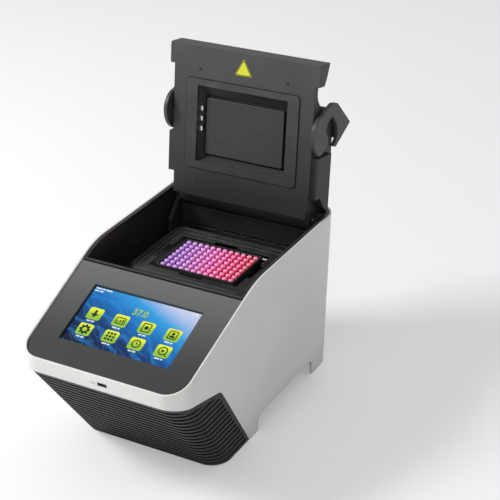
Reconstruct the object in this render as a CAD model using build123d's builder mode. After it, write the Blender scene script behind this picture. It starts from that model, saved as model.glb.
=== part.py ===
"""Thermal cycler with an open heated lid, built as separate pieces.

Millimetres, +Z up, the front faces -Y. The origin is at the middle of the footprint
of the open instrument, on the surface that it stands on. The lid is modelled open.
"""
import os
from math import cos, radians, sin

from build123d import *

os.makedirs("parts", exist_ok=True)

# Case: a drafted box with a sloping front panel.
BODY_DEPTH = 385.5
HANDLE_OVERHANG = 50.5
RIM_Z = 227.5
HALF_RIM = 117.5
HALF_BASE = 103.0
CORNER_R = 27.0
SHELL_WALL = 2.4
FIT = 0.3
PANEL_TILT = 21.3
PANEL_LOW_Z = 159.0
PANEL_LENGTH = 153.0
LIP_RISE = 2.0
LIP_WIDTH = SHELL_WALL + FIT
BEND_R = 120.0
BAND_HEIGHT = 19.0
BAND_REAR_DROP = 23.0
BAND_REAR_SETBACK = 82.0
GRILLE_APEX_R = 20.0
GRILLE_FOOT_SETBACK = 164.0
FOOT_FRONT_LENGTH = 17.0
FOOT_REAR_LENGTH = 50.0
ARCH_Z = 25.0
ARCH_R = 10.0
GROUND_GAP = 1.6

# Front panel and screen.
PANEL_THICK = 3.0
PANEL_CORNER_R = 25.0
SCREEN_W = 152.8
SCREEN_H = 86.8
SCREEN_TOP = 30.3
GLASS_THICK = 1.5
DISPLAY_W = 165.0
DISPLAY_H = 100.0
DISPLAY_THICK = 6.0

# Cavity and deck.
CAVITY_HALF = 110.0
CAVITY_BACK_Y = 133.5
CAVITY_FRONT_Y = -69.5
SHELF_Z = 203.0
POCKET_REAR_Y = 160.5
BLOCK_Y = 37.0
GUTTER_Z = 166.0
RING_W = 166.0
RING_D = 120.5
OPENING_W = 129.0
OPENING_D = 86.0
NOTCH_W = 34.0
NOTCH_D = 5.0

# Sample block and tubes.
COLUMNS = 12
ROWS = 8
PITCH = 9.0
BLOCK_W = 112.0
BLOCK_D = 75.0
BLOCK_H = 20.0
WELL_R = 3.3
TUBE_R = 3.1
CAP_R = 3.3
CAP_H = 4.0
CAP_TOP_Z = 187.0
BLOCK_TOP_DROP = 6.0

# Lid, in its own coordinates: u runs up the open lid, n points out of its inner face.
LID_LEAN = 9.11
HINGE_Z = 218.7
HINGE_U = -64.3
HINGE_N = -28.6
PLATE_W = 113.0
PLATE_H = 75.0
PLATE_RECESS = 8.0
PLATE_THICK = 6.0
LID_TOP_U = 142.0
LID_STRIP_U = 114.8
LID_STRIP_HALF = 107.3
LID_MAIN_HALF = 101.0
LID_WIDE_HALF = 109.0
LID_WIDE_TOP_U = 23.5
LID_WIDE_LOW_U = -30.0
LID_LOW_U = -57.0
LID_LOW_HALF = 98.0
LID_THICK = 46.0
LID_BACK_DEPTH = 56.0
LID_SIDE_DEPTH = 41.0
LID_PLATE_THICK = 3.0
LID_COVER_WALL = 2.5
SEAL_W = 162.0
SEAL_H = 118.5
SEAL_OPEN_W = 130.0
SEAL_OPEN_H = 100.0
SEAL_PROUD = 1.2
HINGE_SHAFT_R = 4.0
HINGE_RUN = 0.05
TAIL_R = 14.0

# Levers and handle.
PIVOT_U = 50.0
PIVOT_N = -8.0
LEVER_INNER = 104.2
LEVER_OUTER = 109.0
LEVER_SHAFT_R = 4.0
HANDLE_IN_R = 52.5
HANDLE_OUT_R = 60.0
HANDLE_START = -103.0
HANDLE_SWEEP = 39.0

# Values worked out from the driving dimensions.
FRONT_Y = -(BODY_DEPTH + HANDLE_OVERHANG) / 2
REAR_Y = FRONT_Y + BODY_DEPTH
DRAFT = (HALF_RIM - HALF_BASE) / RIM_Z
HINGE_Y = BLOCK_Y + PLATE_H / 2 - HINGE_U
LID_CLOSED_Z = HINGE_Z + HINGE_N
DECK_TOP_Z = LID_CLOSED_Z - SEAL_PROUD - 0.5
LEAN = radians(LID_LEAN)
U_DIR = Vector(0, sin(LEAN), cos(LEAN))
N_DIR = Vector(0, -cos(LEAN), sin(LEAN))
HINGE_AT = Vector(0, HINGE_Y, HINGE_Z)
LID_AT = HINGE_AT - U_DIR * HINGE_U - N_DIR * HINGE_N
LID = Plane(origin=LID_AT, x_dir=(1, 0, 0), z_dir=N_DIR)
TILT = radians(PANEL_TILT)
PANEL_FRONT_Y = FRONT_Y + 2.0
PANEL_AT = Vector(0, PANEL_FRONT_Y + PANEL_LENGTH * cos(TILT), PANEL_LOW_Z + PANEL_LENGTH * sin(TILT))
PANEL = Plane(origin=PANEL_AT, x_dir=(1, 0, 0), z_dir=(0, -sin(TILT), cos(TILT)))
BLOCK_TOP_Z = CAP_TOP_Z - BLOCK_TOP_DROP


def half_at(z):
    """Half-width of the drafted case at a height."""
    return HALF_BASE + DRAFT * z


def lid_side(x):
    """Sketch plane across the lid at one x, with u to the right and n up."""
    return Plane(origin=LID_AT + Vector(x, 0, 0), x_dir=U_DIR, z_dir=(1, 0, 0))


def finish(part, name):
    """Labels one finished piece and writes its file."""
    part.label = name
    export_step(part, f"parts/{name}.step")


def drafted(inset, low, high, front_low=FRONT_Y, front_high=FRONT_Y, radius=CORNER_R):
    """The case form between two heights, drawn in by an inset on all sides."""
    with BuildPart() as form:
        for z, front in ((low, front_low), (high, front_high)):
            depth = REAR_Y - front - 2 * inset
            with BuildSketch(Plane.XY.offset(z)):
                with Locations((0, (REAR_Y + front) / 2)):
                    RectangleRounded(2 * (half_at(z) - inset), depth, radius - inset)
        loft()
    return form.part


def prism(points, radii, half):
    """A side profile in (y, z), rounded at its corners, as wide as the part needs."""
    with BuildPart() as solid:
        with BuildSketch(Plane.YZ):
            with BuildLine():
                FilletPolyline(*points, radius=radii, close=True)
            make_face()
        extrude(amount=half, both=True)
    return solid.part


def slab(x, y, z):
    """A block between two values along each axis."""
    with BuildPart() as block:
        with BuildSketch(Plane.XY.offset(z[0])):
            with Locations(((x[0] + x[1]) / 2, (y[0] + y[1]) / 2)):
                Rectangle(x[1] - x[0], y[1] - y[0])
        extrude(amount=z[1] - z[0])
    return block.part


# Side profiles that several case pieces share.
FAR = 300.0
SHARP = 0.4
LIP_SLOPE = sin(TILT) / cos(TILT)


def lip_z(y, rise):
    """Height of a line that stands off the front panel by a rise."""
    return PANEL_AT.Z + rise / cos(TILT) + (y - PANEL_AT.Y) * LIP_SLOPE


def below_top(rise, rim, low=-20.0):
    """Everything under the rim and the sloping front, as a prism."""
    bend_y = PANEL_AT.Y + (rim - PANEL_AT.Z - rise / cos(TILT)) / LIP_SLOPE
    front = FRONT_Y - 10
    points = [
        (REAR_Y + 10, low),
        (REAR_Y + 10, rim),
        (bend_y, rim),
        (front, lip_z(front, rise)),
        (front, low),
    ]
    return prism(points, [SHARP, SHARP, BEND_R, SHARP, SHARP], 150)


BAND_LOW_Z = lip_z(FRONT_Y, LIP_RISE) - BAND_HEIGHT
APEX_Y = FRONT_Y + BAND_REAR_SETBACK + 10
APEX_Z = BAND_LOW_Z - BAND_REAR_DROP
FOOT_Y = FRONT_Y + GRILLE_FOOT_SETBACK
ARCH_FRONT_Y = FOOT_Y + FOOT_FRONT_LENGTH + 5
ARCH_REAR_Y = REAR_Y - FOOT_REAR_LENGTH - 5
CHIN_SETBACK = 94.0


def grille_side(gap):
    """Profile of the space that the front grille fills, grown or shrunk by a gap."""
    points = [
        (FRONT_Y - 20, BAND_LOW_Z + BAND_REAR_DROP / BAND_REAR_SETBACK * 20 - gap),
        (APEX_Y - gap, APEX_Z - gap),
        (FOOT_Y - gap, GROUND_GAP),
        (FOOT_Y - gap, -30.0),
        (FRONT_Y - 20, -30.0),
    ]
    return prism(points, [SHARP, GRILLE_APEX_R, SHARP, SHARP, SHARP], 150)


case_outer = drafted(0, -20, RIM_Z + 20)
case_inner = drafted(SHELL_WALL, -25, RIM_Z + 25)
grille_space = grille_side(0)
arch = prism(
    [(ARCH_FRONT_Y, -30), (ARCH_FRONT_Y, ARCH_Z), (ARCH_REAR_Y, ARCH_Z), (ARCH_REAR_Y, -30)],
    [SHARP, ARCH_R, ARCH_R, SHARP],
    150,
)
under_floor = slab((-150, 150), (-FAR, FAR), (-60, GROUND_GAP))
under_lips = below_top(LIP_RISE, RIM_Z)

# Outer shell: the white skin round the sides, the rear and the front band.
REAR_PLATE_HALF = 72.0
REAR_PLATE_LOW = 30.0
REAR_PLATE_HIGH = 150.0
USB_X = 8.5
USB_W = 13.0
USB_H = 4.8
USB_Z = BAND_LOW_Z + BAND_HEIGHT / 2
with BuildPart() as outer_shell:
    add(case_outer)
    add(under_lips, mode=Mode.INTERSECT)
    add(case_inner, mode=Mode.SUBTRACT)
    add(grille_space, mode=Mode.SUBTRACT)
    add(arch, mode=Mode.SUBTRACT)
    add(under_floor, mode=Mode.SUBTRACT)
    with BuildSketch(Plane.XZ.offset(-(REAR_Y + 5))):
        with Locations((0, (REAR_PLATE_LOW + REAR_PLATE_HIGH) / 2)):
            RectangleRounded(2 * REAR_PLATE_HALF, REAR_PLATE_HIGH - REAR_PLATE_LOW, 4)
    extrude(amount=20, mode=Mode.SUBTRACT)
    with BuildSketch(Plane.XZ.offset(-FRONT_Y - 5)):
        with Locations((USB_X, USB_Z)):
            RectangleRounded(USB_W + 2 * FIT, USB_H + 2 * FIT, 1)
    extrude(amount=20, both=True, mode=Mode.SUBTRACT)
finish(outer_shell.part, "outer_shell")

# Deck cover: the dark tray that lines the cavity and carries the raised deck.
LINER_UNDER = 2.5
LINER_GAP = SHELL_WALL + FIT
LINER_LOW_Z = GUTTER_Z - LINER_UNDER
RING_Y = BLOCK_Y + 1.75
RING_WALL = 3.0
RING_CORNER_R = 12.0
RING_STEP = 1.6
INNER_RING_W = 149.6
INNER_RING_D = 101.0
INNER_STEP = 2.6
SLOPE_W = 196.0
SLOPE_D = 152.0
DECK_SKIN = 4.0
FRONT_LIP = 2.5
CAVITY_CORNER_R = 18.0
VENT_W = 36.0
VENT_H = 3.0


def deck_hill(drop, grow):
    """The raised middle of the deck, lowered and widened to make its underside."""
    with BuildPart() as hill:
        with BuildSketch(Plane.XY.offset(GUTTER_Z - 1 - drop)):
            with Locations((0, RING_Y)):
                RectangleRounded(SLOPE_W - 2 * grow, SLOPE_D - 2 * grow, 14)
        with BuildSketch(Plane.XY.offset(DECK_TOP_Z - drop)):
            with Locations((0, RING_Y)):
                RectangleRounded(RING_W - 2 * grow, RING_D - 2 * grow, RING_CORNER_R)
        loft()
    return hill.part


def deck_cut(width, depth, low, corner):
    """A rounded pocket in the deck, from a low level up through its top."""
    with BuildPart() as cut:
        with BuildSketch(Plane.XY.offset(low)):
            with Locations((0, RING_Y)):
                RectangleRounded(width, depth, corner)
        extrude(amount=FAR - low)
    return cut.part


liner_form = drafted(LINER_GAP, LINER_LOW_Z, RIM_Z + 10)
liner_top = below_top(0.4, RIM_Z - 0.4, -30.0)
hill_solid = deck_hill(0, 0)
hill_space = deck_hill(DECK_SKIN, 0.5)
ring_pocket = deck_cut(RING_W - 2 * RING_WALL, RING_D - 2 * RING_WALL, DECK_TOP_Z - RING_STEP, RING_CORNER_R - RING_WALL)
inner_pocket = deck_cut(INNER_RING_W, INNER_RING_D, DECK_TOP_Z - INNER_STEP, 6.0)
with BuildPart() as deck_cover:
    add(liner_form)
    add(liner_top, mode=Mode.INTERSECT)
    with BuildSketch(Plane.XY.offset(GUTTER_Z)):
        with Locations((0, (CAVITY_FRONT_Y + CAVITY_BACK_Y) / 2)):
            Rectangle(2 * CAVITY_HALF, CAVITY_BACK_Y - CAVITY_FRONT_Y)
    extrude(amount=FAR, mode=Mode.SUBTRACT)
    with BuildSketch(Plane.XY.offset(SHELF_Z)):
        with Locations((0, POCKET_REAR_Y - 40)):
            RectangleRounded(2 * CAVITY_HALF, 80, CAVITY_CORNER_R)
    extrude(amount=FAR, mode=Mode.SUBTRACT)
    with BuildSketch(Plane.XY.offset(LINER_LOW_Z - 1)):
        with Locations((0, FRONT_Y - 20)):
            Rectangle(2 * FAR, 2 * (CAVITY_FRONT_Y - FRONT_LIP - FRONT_Y + 20))
    extrude(amount=FAR, mode=Mode.SUBTRACT)
    with BuildSketch(Plane.XY.offset(LINER_LOW_Z - 1)):
        with Locations((0, (CAVITY_BACK_Y + LINER_UNDER + POCKET_REAR_Y) / 2)):
            Rectangle(2 * CAVITY_HALF - 4, POCKET_REAR_Y - CAVITY_BACK_Y - LINER_UNDER)
    extrude(amount=SHELF_Z - LINER_UNDER - LINER_LOW_Z + 1, mode=Mode.SUBTRACT)
    add(hill_solid)
    add(hill_space, mode=Mode.SUBTRACT)
    add(ring_pocket, mode=Mode.SUBTRACT)
    add(inner_pocket, mode=Mode.SUBTRACT)
    with BuildSketch(Plane.XY.offset(LINER_LOW_Z - 5)):
        with Locations((0, BLOCK_Y)):
            Rectangle(OPENING_W, OPENING_D)
            Rectangle(OPENING_W + 2 * NOTCH_D, NOTCH_W)
            Rectangle(NOTCH_W, OPENING_D + 2 * NOTCH_D)
    extrude(amount=FAR, mode=Mode.SUBTRACT)
    with BuildSketch(Plane.XZ.offset(-(CAVITY_BACK_Y - 1))):
        with Locations((0, GUTTER_Z + 8)):
            with GridLocations(VENT_W + 8, 1, 4, 1):
                SlotOverall(VENT_W, VENT_H)
    extrude(amount=-(LINER_UNDER + 2), mode=Mode.SUBTRACT)
finish(deck_cover.part, "deck_cover")

# Front panel: the charcoal plate with the screen window, held between the white lips.
PANEL_HALF_TOP = half_at(PANEL_AT.Z) - LIP_WIDTH
PANEL_HALF_LOW = half_at(PANEL_LOW_Z) - LIP_WIDTH
PANEL_TOP_GAP = 0.6


def panel_outline(shrink):
    """Outline of the front panel in its own plane, drawn in on all sides."""
    top = -PANEL_TOP_GAP - shrink
    low = -PANEL_LENGTH + shrink + 1
    high_half = PANEL_HALF_TOP - shrink
    low_half = PANEL_HALF_LOW - shrink
    points = [(-high_half, top), (-low_half, low), (low_half, low), (high_half, top)]
    return points, [2.0, PANEL_CORNER_R - shrink, PANEL_CORNER_R - shrink, 2.0]


SCREEN_Y = -(SCREEN_TOP + SCREEN_H / 2)
with BuildPart() as front_panel:
    with BuildSketch(PANEL):
        outline, rounds = panel_outline(0)
        with BuildLine():
            FilletPolyline(*outline, radius=rounds, close=True)
        make_face()
    extrude(amount=-PANEL_THICK)
    chamfer(front_panel.faces().sort_by(Axis((0, 0, 0), tuple(PANEL.z_dir)))[-1].edges(), length=0.5)
    with BuildSketch(PANEL):
        with Locations((0, SCREEN_Y)):
            Rectangle(SCREEN_W, SCREEN_H)
    extrude(amount=-PANEL_THICK, mode=Mode.SUBTRACT)
finish(front_panel.part, "front_panel")

# Screen: a touch glass behind the window, with the display and its board behind it.
with BuildPart() as screen_glass:
    with BuildSketch(PANEL.offset(-PANEL_THICK)):
        with Locations((0, SCREEN_Y)):
            RectangleRounded(DISPLAY_W, DISPLAY_H, 2)
    extrude(amount=-GLASS_THICK)
finish(screen_glass.part, "screen_glass")

DISPLAY_BACK = PANEL_THICK + GLASS_THICK + DISPLAY_THICK
with BuildPart() as display_module:
    with BuildSketch(PANEL.offset(-PANEL_THICK - GLASS_THICK)):
        with Locations((0, SCREEN_Y)):
            Rectangle(DISPLAY_W - 2, DISPLAY_H - 2)
    extrude(amount=-DISPLAY_THICK)
finish(display_module.part, "display_module")

BOARD_THICK = 1.6
STAND_OFF = 5.0
BOARD_HOLE_X = 66.0
BOARD_HOLE_Y = 36.0
with BuildPart() as display_board:
    with BuildSketch(PANEL.offset(-DISPLAY_BACK)):
        with Locations((0, SCREEN_Y)):
            with GridLocations(2 * BOARD_HOLE_X, 2 * BOARD_HOLE_Y, 2, 2):
                Circle(3)
    extrude(amount=-STAND_OFF)
    with BuildSketch(PANEL.offset(-DISPLAY_BACK - STAND_OFF)):
        with Locations((0, SCREEN_Y)):
            Rectangle(146, 84)
    extrude(amount=-BOARD_THICK)
    with BuildSketch(PANEL.offset(-DISPLAY_BACK - STAND_OFF - BOARD_THICK)):
        with Locations((-20, SCREEN_Y + 8)):
            Rectangle(24, 24)
        with Locations((35, SCREEN_Y - 10)):
            Rectangle(34, 16)
    extrude(amount=-3)
finish(display_board.part, "display_board")

# USB socket in the front band.
USB_DEPTH = 14.0
with BuildPart() as usb_socket:
    with BuildSketch(Plane.XZ.offset(-FRONT_Y - 0.4)):
        with Locations((USB_X, USB_Z)):
            RectangleRounded(USB_W, USB_H, 1)
            RectangleRounded(USB_W - 1.2, USB_H - 1.2, 0.6, mode=Mode.SUBTRACT)
    extrude(amount=-USB_DEPTH)
    with BuildSketch(Plane.XZ.offset(-FRONT_Y - 2)):
        with Locations((USB_X, USB_Z + 0.9)):
            Rectangle(USB_W - 1.2, 1.6)
    extrude(amount=-USB_DEPTH + 2)
    with BuildSketch(Plane.XZ.offset(-FRONT_Y - 0.4 - USB_DEPTH)):
        with Locations((USB_X, USB_Z)):
            Rectangle(USB_W + 3, USB_H + 4)
    extrude(amount=-2)
finish(usb_socket.part, "usb_socket")

# Front grille: the dark chin with horizontal louvres that wrap both corners.
GRILLE_WALL = 3.6
GROOVE_DEPTH = 2.2
LOUVRES = 17
GRILLE_BORDER = 5.0
GROOVE_SHARE = 0.5
GRILLE_TOP_Z = BAND_LOW_Z + 4
GRILLE_LOW_Z = 1.8
CHIN_TOP_GAP = 1.0


def chin(inset):
    """The tapering chin under the front band, drawn in on all sides."""
    slope = (CHIN_SETBACK - CHIN_TOP_GAP) / BAND_LOW_Z
    front = [FRONT_Y + CHIN_TOP_GAP + (BAND_LOW_Z - z) * slope for z in (-10, GRILLE_TOP_Z)]
    return drafted(inset, -10, GRILLE_TOP_Z, front[0], front[1], CORNER_R - 1)


chin_outer = chin(0.2)
chin_groove = chin(0.2 + GROOVE_DEPTH)
chin_inner = chin(0.2 + GRILLE_WALL)
grille_fill = grille_side(FIT)
groove_area = grille_side(GRILLE_BORDER)
louvre_pitch = (GRILLE_TOP_Z - GRILLE_BORDER - 8) / LOUVRES
with BuildPart() as groove_slabs:
    for row in range(LOUVRES):
        groove_z = 6 + row * louvre_pitch
        with BuildSketch(Plane.XY.offset(groove_z)):
            with Locations((0, FRONT_Y)):
                Rectangle(300, 500)
        extrude(amount=louvre_pitch * GROOVE_SHARE)
with BuildPart() as groove_tool:
    add(chin(-5))
    add(groove_area, mode=Mode.INTERSECT)
    add(groove_slabs.part, mode=Mode.INTERSECT)
    add(chin_groove, mode=Mode.SUBTRACT)
grille_low_cut = slab((-150, 150), (-FAR, FAR), (-60, GRILLE_LOW_Z))
with BuildPart() as front_grille:
    add(chin_outer)
    add(grille_fill, mode=Mode.INTERSECT)
    add(chin_inner, mode=Mode.SUBTRACT)
    add(groove_tool.part, mode=Mode.SUBTRACT)
    add(grille_low_cut, mode=Mode.SUBTRACT)
finish(front_grille.part, "front_grille")


# Base pan: the sheet floor that carries the works, with rubber feet under it.
PAN_Z = 26.5
PAN_THICK = 1.5
PAN_FRONT_Y = -104.0
FOOT_R = 9.0
FOOT_REACH_X = 78.0
FOOT_BACK_Y = REAR_Y - 30
FOOT_FRONT_Y = FOOT_Y + 22
PAN_HALF = half_at(PAN_Z) - GRILLE_WALL - 2 * FIT
with BuildPart() as base_pan:
    with BuildSketch(Plane.XY.offset(PAN_Z)):
        with Locations((0, (PAN_FRONT_Y + REAR_Y - SHELL_WALL - FIT) / 2)):
            Rectangle(2 * PAN_HALF, REAR_Y - SHELL_WALL - FIT - PAN_FRONT_Y)
    extrude(amount=PAN_THICK)
    fillet(base_pan.edges().filter_by(Axis.Z).group_by(Axis.Y)[-1], CORNER_R - SHELL_WALL)
    with BuildSketch(Plane.XY.offset(PAN_Z)):
        for foot_y in (FOOT_FRONT_Y, FOOT_BACK_Y):
            with Locations((-FOOT_REACH_X, foot_y), (FOOT_REACH_X, foot_y)):
                Circle(FOOT_R - 2)
    extrude(amount=-(PAN_Z - 5))
    with BuildSketch(Plane.XY.offset(PAN_Z)):
        with Locations((0, BLOCK_Y)):
            with GridLocations(12, 1, 9, 1):
                SlotOverall(70, 5, rotation=90)
    extrude(amount=PAN_THICK, mode=Mode.SUBTRACT)
finish(base_pan.part, "base_pan")

with BuildPart() as rubber_feet:
    with BuildSketch(Plane.XY):
        for foot_y in (FOOT_FRONT_Y, FOOT_BACK_Y):
            with Locations((-FOOT_REACH_X, foot_y), (FOOT_REACH_X, foot_y)):
                Circle(FOOT_R)
    extrude(amount=5)
finish(rubber_feet.part, "rubber_feet")

# Rear plate: sheet metal with exhaust slots, the mains inlet and the data sockets.
REAR_PLATE_THICK = 1.5
INLET_X = -52.0
INLET_Z = 54.0
INLET_W = 27.0
INLET_H = 20.0
DRAWER_H = 11.0
SWITCH_W = 13.0
SWITCH_H = 19.0
DATA_X = 40.0
DATA_Z = 50.0
DATA_W = 16.0
DATA_H = 14.0
SLOT_ROWS = 9
SLOT_COLUMNS = 3
PORT_GAP = 0.3
DRAWER_Z = INLET_Z + INLET_H / 2 + 3 + DRAWER_H / 2
SWITCH_X = INLET_X + INLET_W / 2 + 6 + SWITCH_W / 2
with BuildPart() as rear_plate:
    with BuildSketch(Plane.XZ.offset(-REAR_Y)):
        with Locations((0, (REAR_PLATE_LOW + REAR_PLATE_HIGH) / 2)):
            RectangleRounded(2 * (REAR_PLATE_HALF - FIT), REAR_PLATE_HIGH - REAR_PLATE_LOW - 2 * FIT, 4)
    extrude(amount=SHELL_WALL)
    with BuildSketch(Plane.XZ.offset(-REAR_Y + SHELL_WALL)):
        with Locations((0, (REAR_PLATE_LOW + REAR_PLATE_HIGH) / 2)):
            Rectangle(2 * REAR_PLATE_HALF + 6, REAR_PLATE_HIGH - REAR_PLATE_LOW - 2 * FIT)
    extrude(amount=REAR_PLATE_THICK)
    with BuildSketch(Plane.XZ.offset(-REAR_Y)):
        with Locations((0, 112)):
            with GridLocations(45, 7, SLOT_COLUMNS, SLOT_ROWS):
                SlotOverall(38, 3.6)
        with Locations((INLET_X, INLET_Z)):
            Rectangle(INLET_W + 2 * PORT_GAP, INLET_H + 2 * PORT_GAP)
        with Locations((INLET_X, DRAWER_Z)):
            Rectangle(INLET_W + 2 * PORT_GAP, DRAWER_H + 2 * PORT_GAP)
        with Locations((SWITCH_X, INLET_Z)):
            Rectangle(SWITCH_W + 2 * PORT_GAP, SWITCH_H + 2 * PORT_GAP)
        with Locations((DATA_X, DATA_Z)):
            Rectangle(DATA_W + 2 * PORT_GAP, DATA_H + 2 * PORT_GAP)
    extrude(amount=SHELL_WALL + REAR_PLATE_THICK, mode=Mode.SUBTRACT)
finish(rear_plate.part, "rear_plate")

# Mains inlet with its fuse drawer above it.
INLET_DEPTH = 22.0
PIN_R = 1.6
REAR_SIDE = Plane.XZ.offset(-REAR_Y)
with BuildPart() as power_inlet:
    with BuildSketch(REAR_SIDE):
        with Locations((INLET_X, INLET_Z)):
            Rectangle(INLET_W, INLET_H)
    extrude(amount=INLET_DEPTH)
    with BuildSketch(REAR_SIDE):
        with Locations((INLET_X, INLET_Z)):
            RectangleRounded(INLET_W - 4, INLET_H - 4, 3)
    extrude(amount=INLET_DEPTH - 4, mode=Mode.SUBTRACT)
    with BuildSketch(REAR_SIDE.offset(4)):
        with Locations((INLET_X - 7, INLET_Z - 1.5), (INLET_X, INLET_Z + 1.5), (INLET_X + 7, INLET_Z - 1.5)):
            Rectangle(2 * PIN_R, 5)
    extrude(amount=INLET_DEPTH - 4)
finish(power_inlet.part, "power_inlet")

with BuildPart() as fuse_holder:
    with BuildSketch(REAR_SIDE.offset(SHELL_WALL + REAR_PLATE_THICK)):
        with Locations((INLET_X, DRAWER_Z)):
            Rectangle(INLET_W + 2, DRAWER_H + 2)
            Rectangle(INLET_W - 2 + PORT_GAP, DRAWER_H - 2 + PORT_GAP, mode=Mode.SUBTRACT)
    extrude(amount=20)
    with BuildSketch(REAR_SIDE.offset(SHELL_WALL + REAR_PLATE_THICK + 20)):
        with Locations((INLET_X, DRAWER_Z)):
            Rectangle(INLET_W + 2, DRAWER_H + 2)
    extrude(amount=1.5)
finish(fuse_holder.part, "fuse_holder")

with BuildPart() as fuse_drawer:
    with BuildSketch(REAR_SIDE):
        with Locations((INLET_X, DRAWER_Z)):
            Rectangle(INLET_W - PORT_GAP, DRAWER_H - PORT_GAP)
    extrude(amount=SHELL_WALL + REAR_PLATE_THICK - PORT_GAP)
    with BuildSketch(REAR_SIDE.offset(2)):
        with Locations((INLET_X, DRAWER_Z)):
            Rectangle(INLET_W - 2.6, DRAWER_H - 2.6)
    extrude(amount=20)
    with BuildSketch(REAR_SIDE):
        with Locations((INLET_X, DRAWER_Z + 2)):
            Rectangle(8, 2)
    extrude(amount=1, mode=Mode.SUBTRACT)
finish(fuse_drawer.part, "fuse_drawer")

# Rocker switch: a housing in the plate and the rocker that tips in it.
ROCKER_DEPTH = 16.0
ROCKER_GAP = 0.5
ROCKER_PIN_R = 1.5
ROCKER_AXIS_Y = REAR_Y - 6
with BuildPart() as switch_housing:
    with BuildSketch(REAR_SIDE):
        with Locations((SWITCH_X, INLET_Z)):
            Rectangle(SWITCH_W, SWITCH_H)
            Rectangle(SWITCH_W - 2, SWITCH_H - 2, mode=Mode.SUBTRACT)
    extrude(amount=ROCKER_DEPTH)
    with BuildSketch(REAR_SIDE.offset(ROCKER_DEPTH)):
        with Locations((SWITCH_X, INLET_Z)):
            Rectangle(SWITCH_W, SWITCH_H)
    extrude(amount=2)
finish(switch_housing.part, "switch_housing")

ROCKER_HALF = (SWITCH_H - 2) / 2 - ROCKER_GAP - 0.4
with BuildPart() as power_rocker:
    with BuildSketch(Plane.YZ.offset(SWITCH_X)):
        with BuildLine():
            Polyline(
                (ROCKER_AXIS_Y - 5, INLET_Z - 4),
                (REAR_Y - 3.4, INLET_Z - ROCKER_HALF),
                (REAR_Y - 2.2, INLET_Z - ROCKER_HALF),
                (REAR_Y - 2.6, INLET_Z),
                (REAR_Y - 0.3, INLET_Z + ROCKER_HALF),
                (REAR_Y - 2.6, INLET_Z + ROCKER_HALF),
                (ROCKER_AXIS_Y - 5, INLET_Z + 4),
                close=True,
            )
        make_face()
    extrude(amount=(SWITCH_W - 2) / 2 - ROCKER_GAP, both=True)
    with BuildSketch(Plane.YZ.offset(SWITCH_X)):
        with Locations((ROCKER_AXIS_Y, INLET_Z)):
            Circle(ROCKER_PIN_R)
    extrude(amount=(SWITCH_W - 2) / 2 - ROCKER_GAP / 2, both=True)
finish(power_rocker.part, "power_rocker")

with BuildPart() as data_sockets:
    with BuildSketch(REAR_SIDE):
        with Locations((DATA_X, DATA_Z)):
            Rectangle(DATA_W, DATA_H)
    extrude(amount=18)
    with BuildSketch(REAR_SIDE):
        with Locations((DATA_X, DATA_Z)):
            Rectangle(DATA_W - 3, DATA_H - 5)
    extrude(amount=12, mode=Mode.SUBTRACT)
finish(data_sockets.part, "data_socket")

# Heat stack under the deck: block, thermoelectric modules, sink and fans.
MODULE_SIDE = 30.0
MODULE_THICK = 3.6
SINK_BASE = 8.0
SINK_W = 150.0
SINK_D = 110.0
FIN_H = 46.0
FIN_THICK = 1.4
FINS = 25
FAN_SIDE = 76.0
FAN_THICK = 22.0
FAN_BORE = 35.0
FAN_X = 39.0
BLOCK_LOW_Z = BLOCK_TOP_Z - BLOCK_H
MODULE_LOW_Z = BLOCK_LOW_Z - MODULE_THICK
SINK_LOW_Z = MODULE_LOW_Z - SINK_BASE - FIN_H
with BuildPart() as sample_block:
    with BuildSketch(Plane.XY.offset(BLOCK_LOW_Z)):
        with Locations((0, BLOCK_Y)):
            Rectangle(BLOCK_W, BLOCK_D)
    extrude(amount=BLOCK_H)
    with BuildSketch(Plane.XY.offset(BLOCK_TOP_Z)):
        with Locations((0, BLOCK_Y)):
            with GridLocations(PITCH, PITCH, COLUMNS, ROWS):
                Circle(WELL_R)
    extrude(amount=-(BLOCK_H - 4), mode=Mode.SUBTRACT)
finish(sample_block.part, "sample_block")

# Tubes: one strip of eight for each column, joined by the web under the caps.
TUBE_LENGTH = 15.0
TUBE_TIP_R = 1.2
with BuildPart() as tube_strips:
    with BuildSketch(Plane.XY.offset(CAP_TOP_Z)):
        with Locations((0, BLOCK_Y)):
            with GridLocations(PITCH, PITCH, COLUMNS, ROWS):
                Circle(CAP_R)
    extrude(amount=-CAP_H)
    with BuildSketch(Plane.XY.offset(CAP_TOP_Z - CAP_H)):
        with Locations((0, BLOCK_Y)):
            with GridLocations(PITCH, PITCH, COLUMNS, ROWS):
                Circle(TUBE_R)
    extrude(amount=-(TUBE_LENGTH - CAP_H), taper=8)
    with BuildSketch(Plane.XY.offset(CAP_TOP_Z - CAP_H)):
        with Locations((0, BLOCK_Y)):
            with GridLocations(PITCH, PITCH, COLUMNS, 1):
                Rectangle(2.4, PITCH * (ROWS - 1))
    extrude(amount=1.2)
finish(tube_strips.part, "tube_strips")

# Frame and seal between the block and the deck opening.
FRAME_TOP_Z = CAP_TOP_Z - 0.6
with BuildPart() as block_frame:
    with BuildSketch(Plane.XY.offset(BLOCK_TOP_Z)):
        with Locations((0, BLOCK_Y)):
            Rectangle(BLOCK_W, BLOCK_D)
            Rectangle(BLOCK_W - 3, BLOCK_D - 3, mode=Mode.SUBTRACT)
    extrude(amount=FRAME_TOP_Z - BLOCK_TOP_Z)
finish(block_frame.part, "block_frame")

with BuildPart() as block_seal:
    with BuildSketch(Plane.XY.offset(BLOCK_LOW_Z)):
        with Locations((0, BLOCK_Y)):
            Rectangle(OPENING_W + 14, OPENING_D + 14)
            Rectangle(BLOCK_W, BLOCK_D, mode=Mode.SUBTRACT)
    extrude(amount=4)
finish(block_seal.part, "block_seal")

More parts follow.
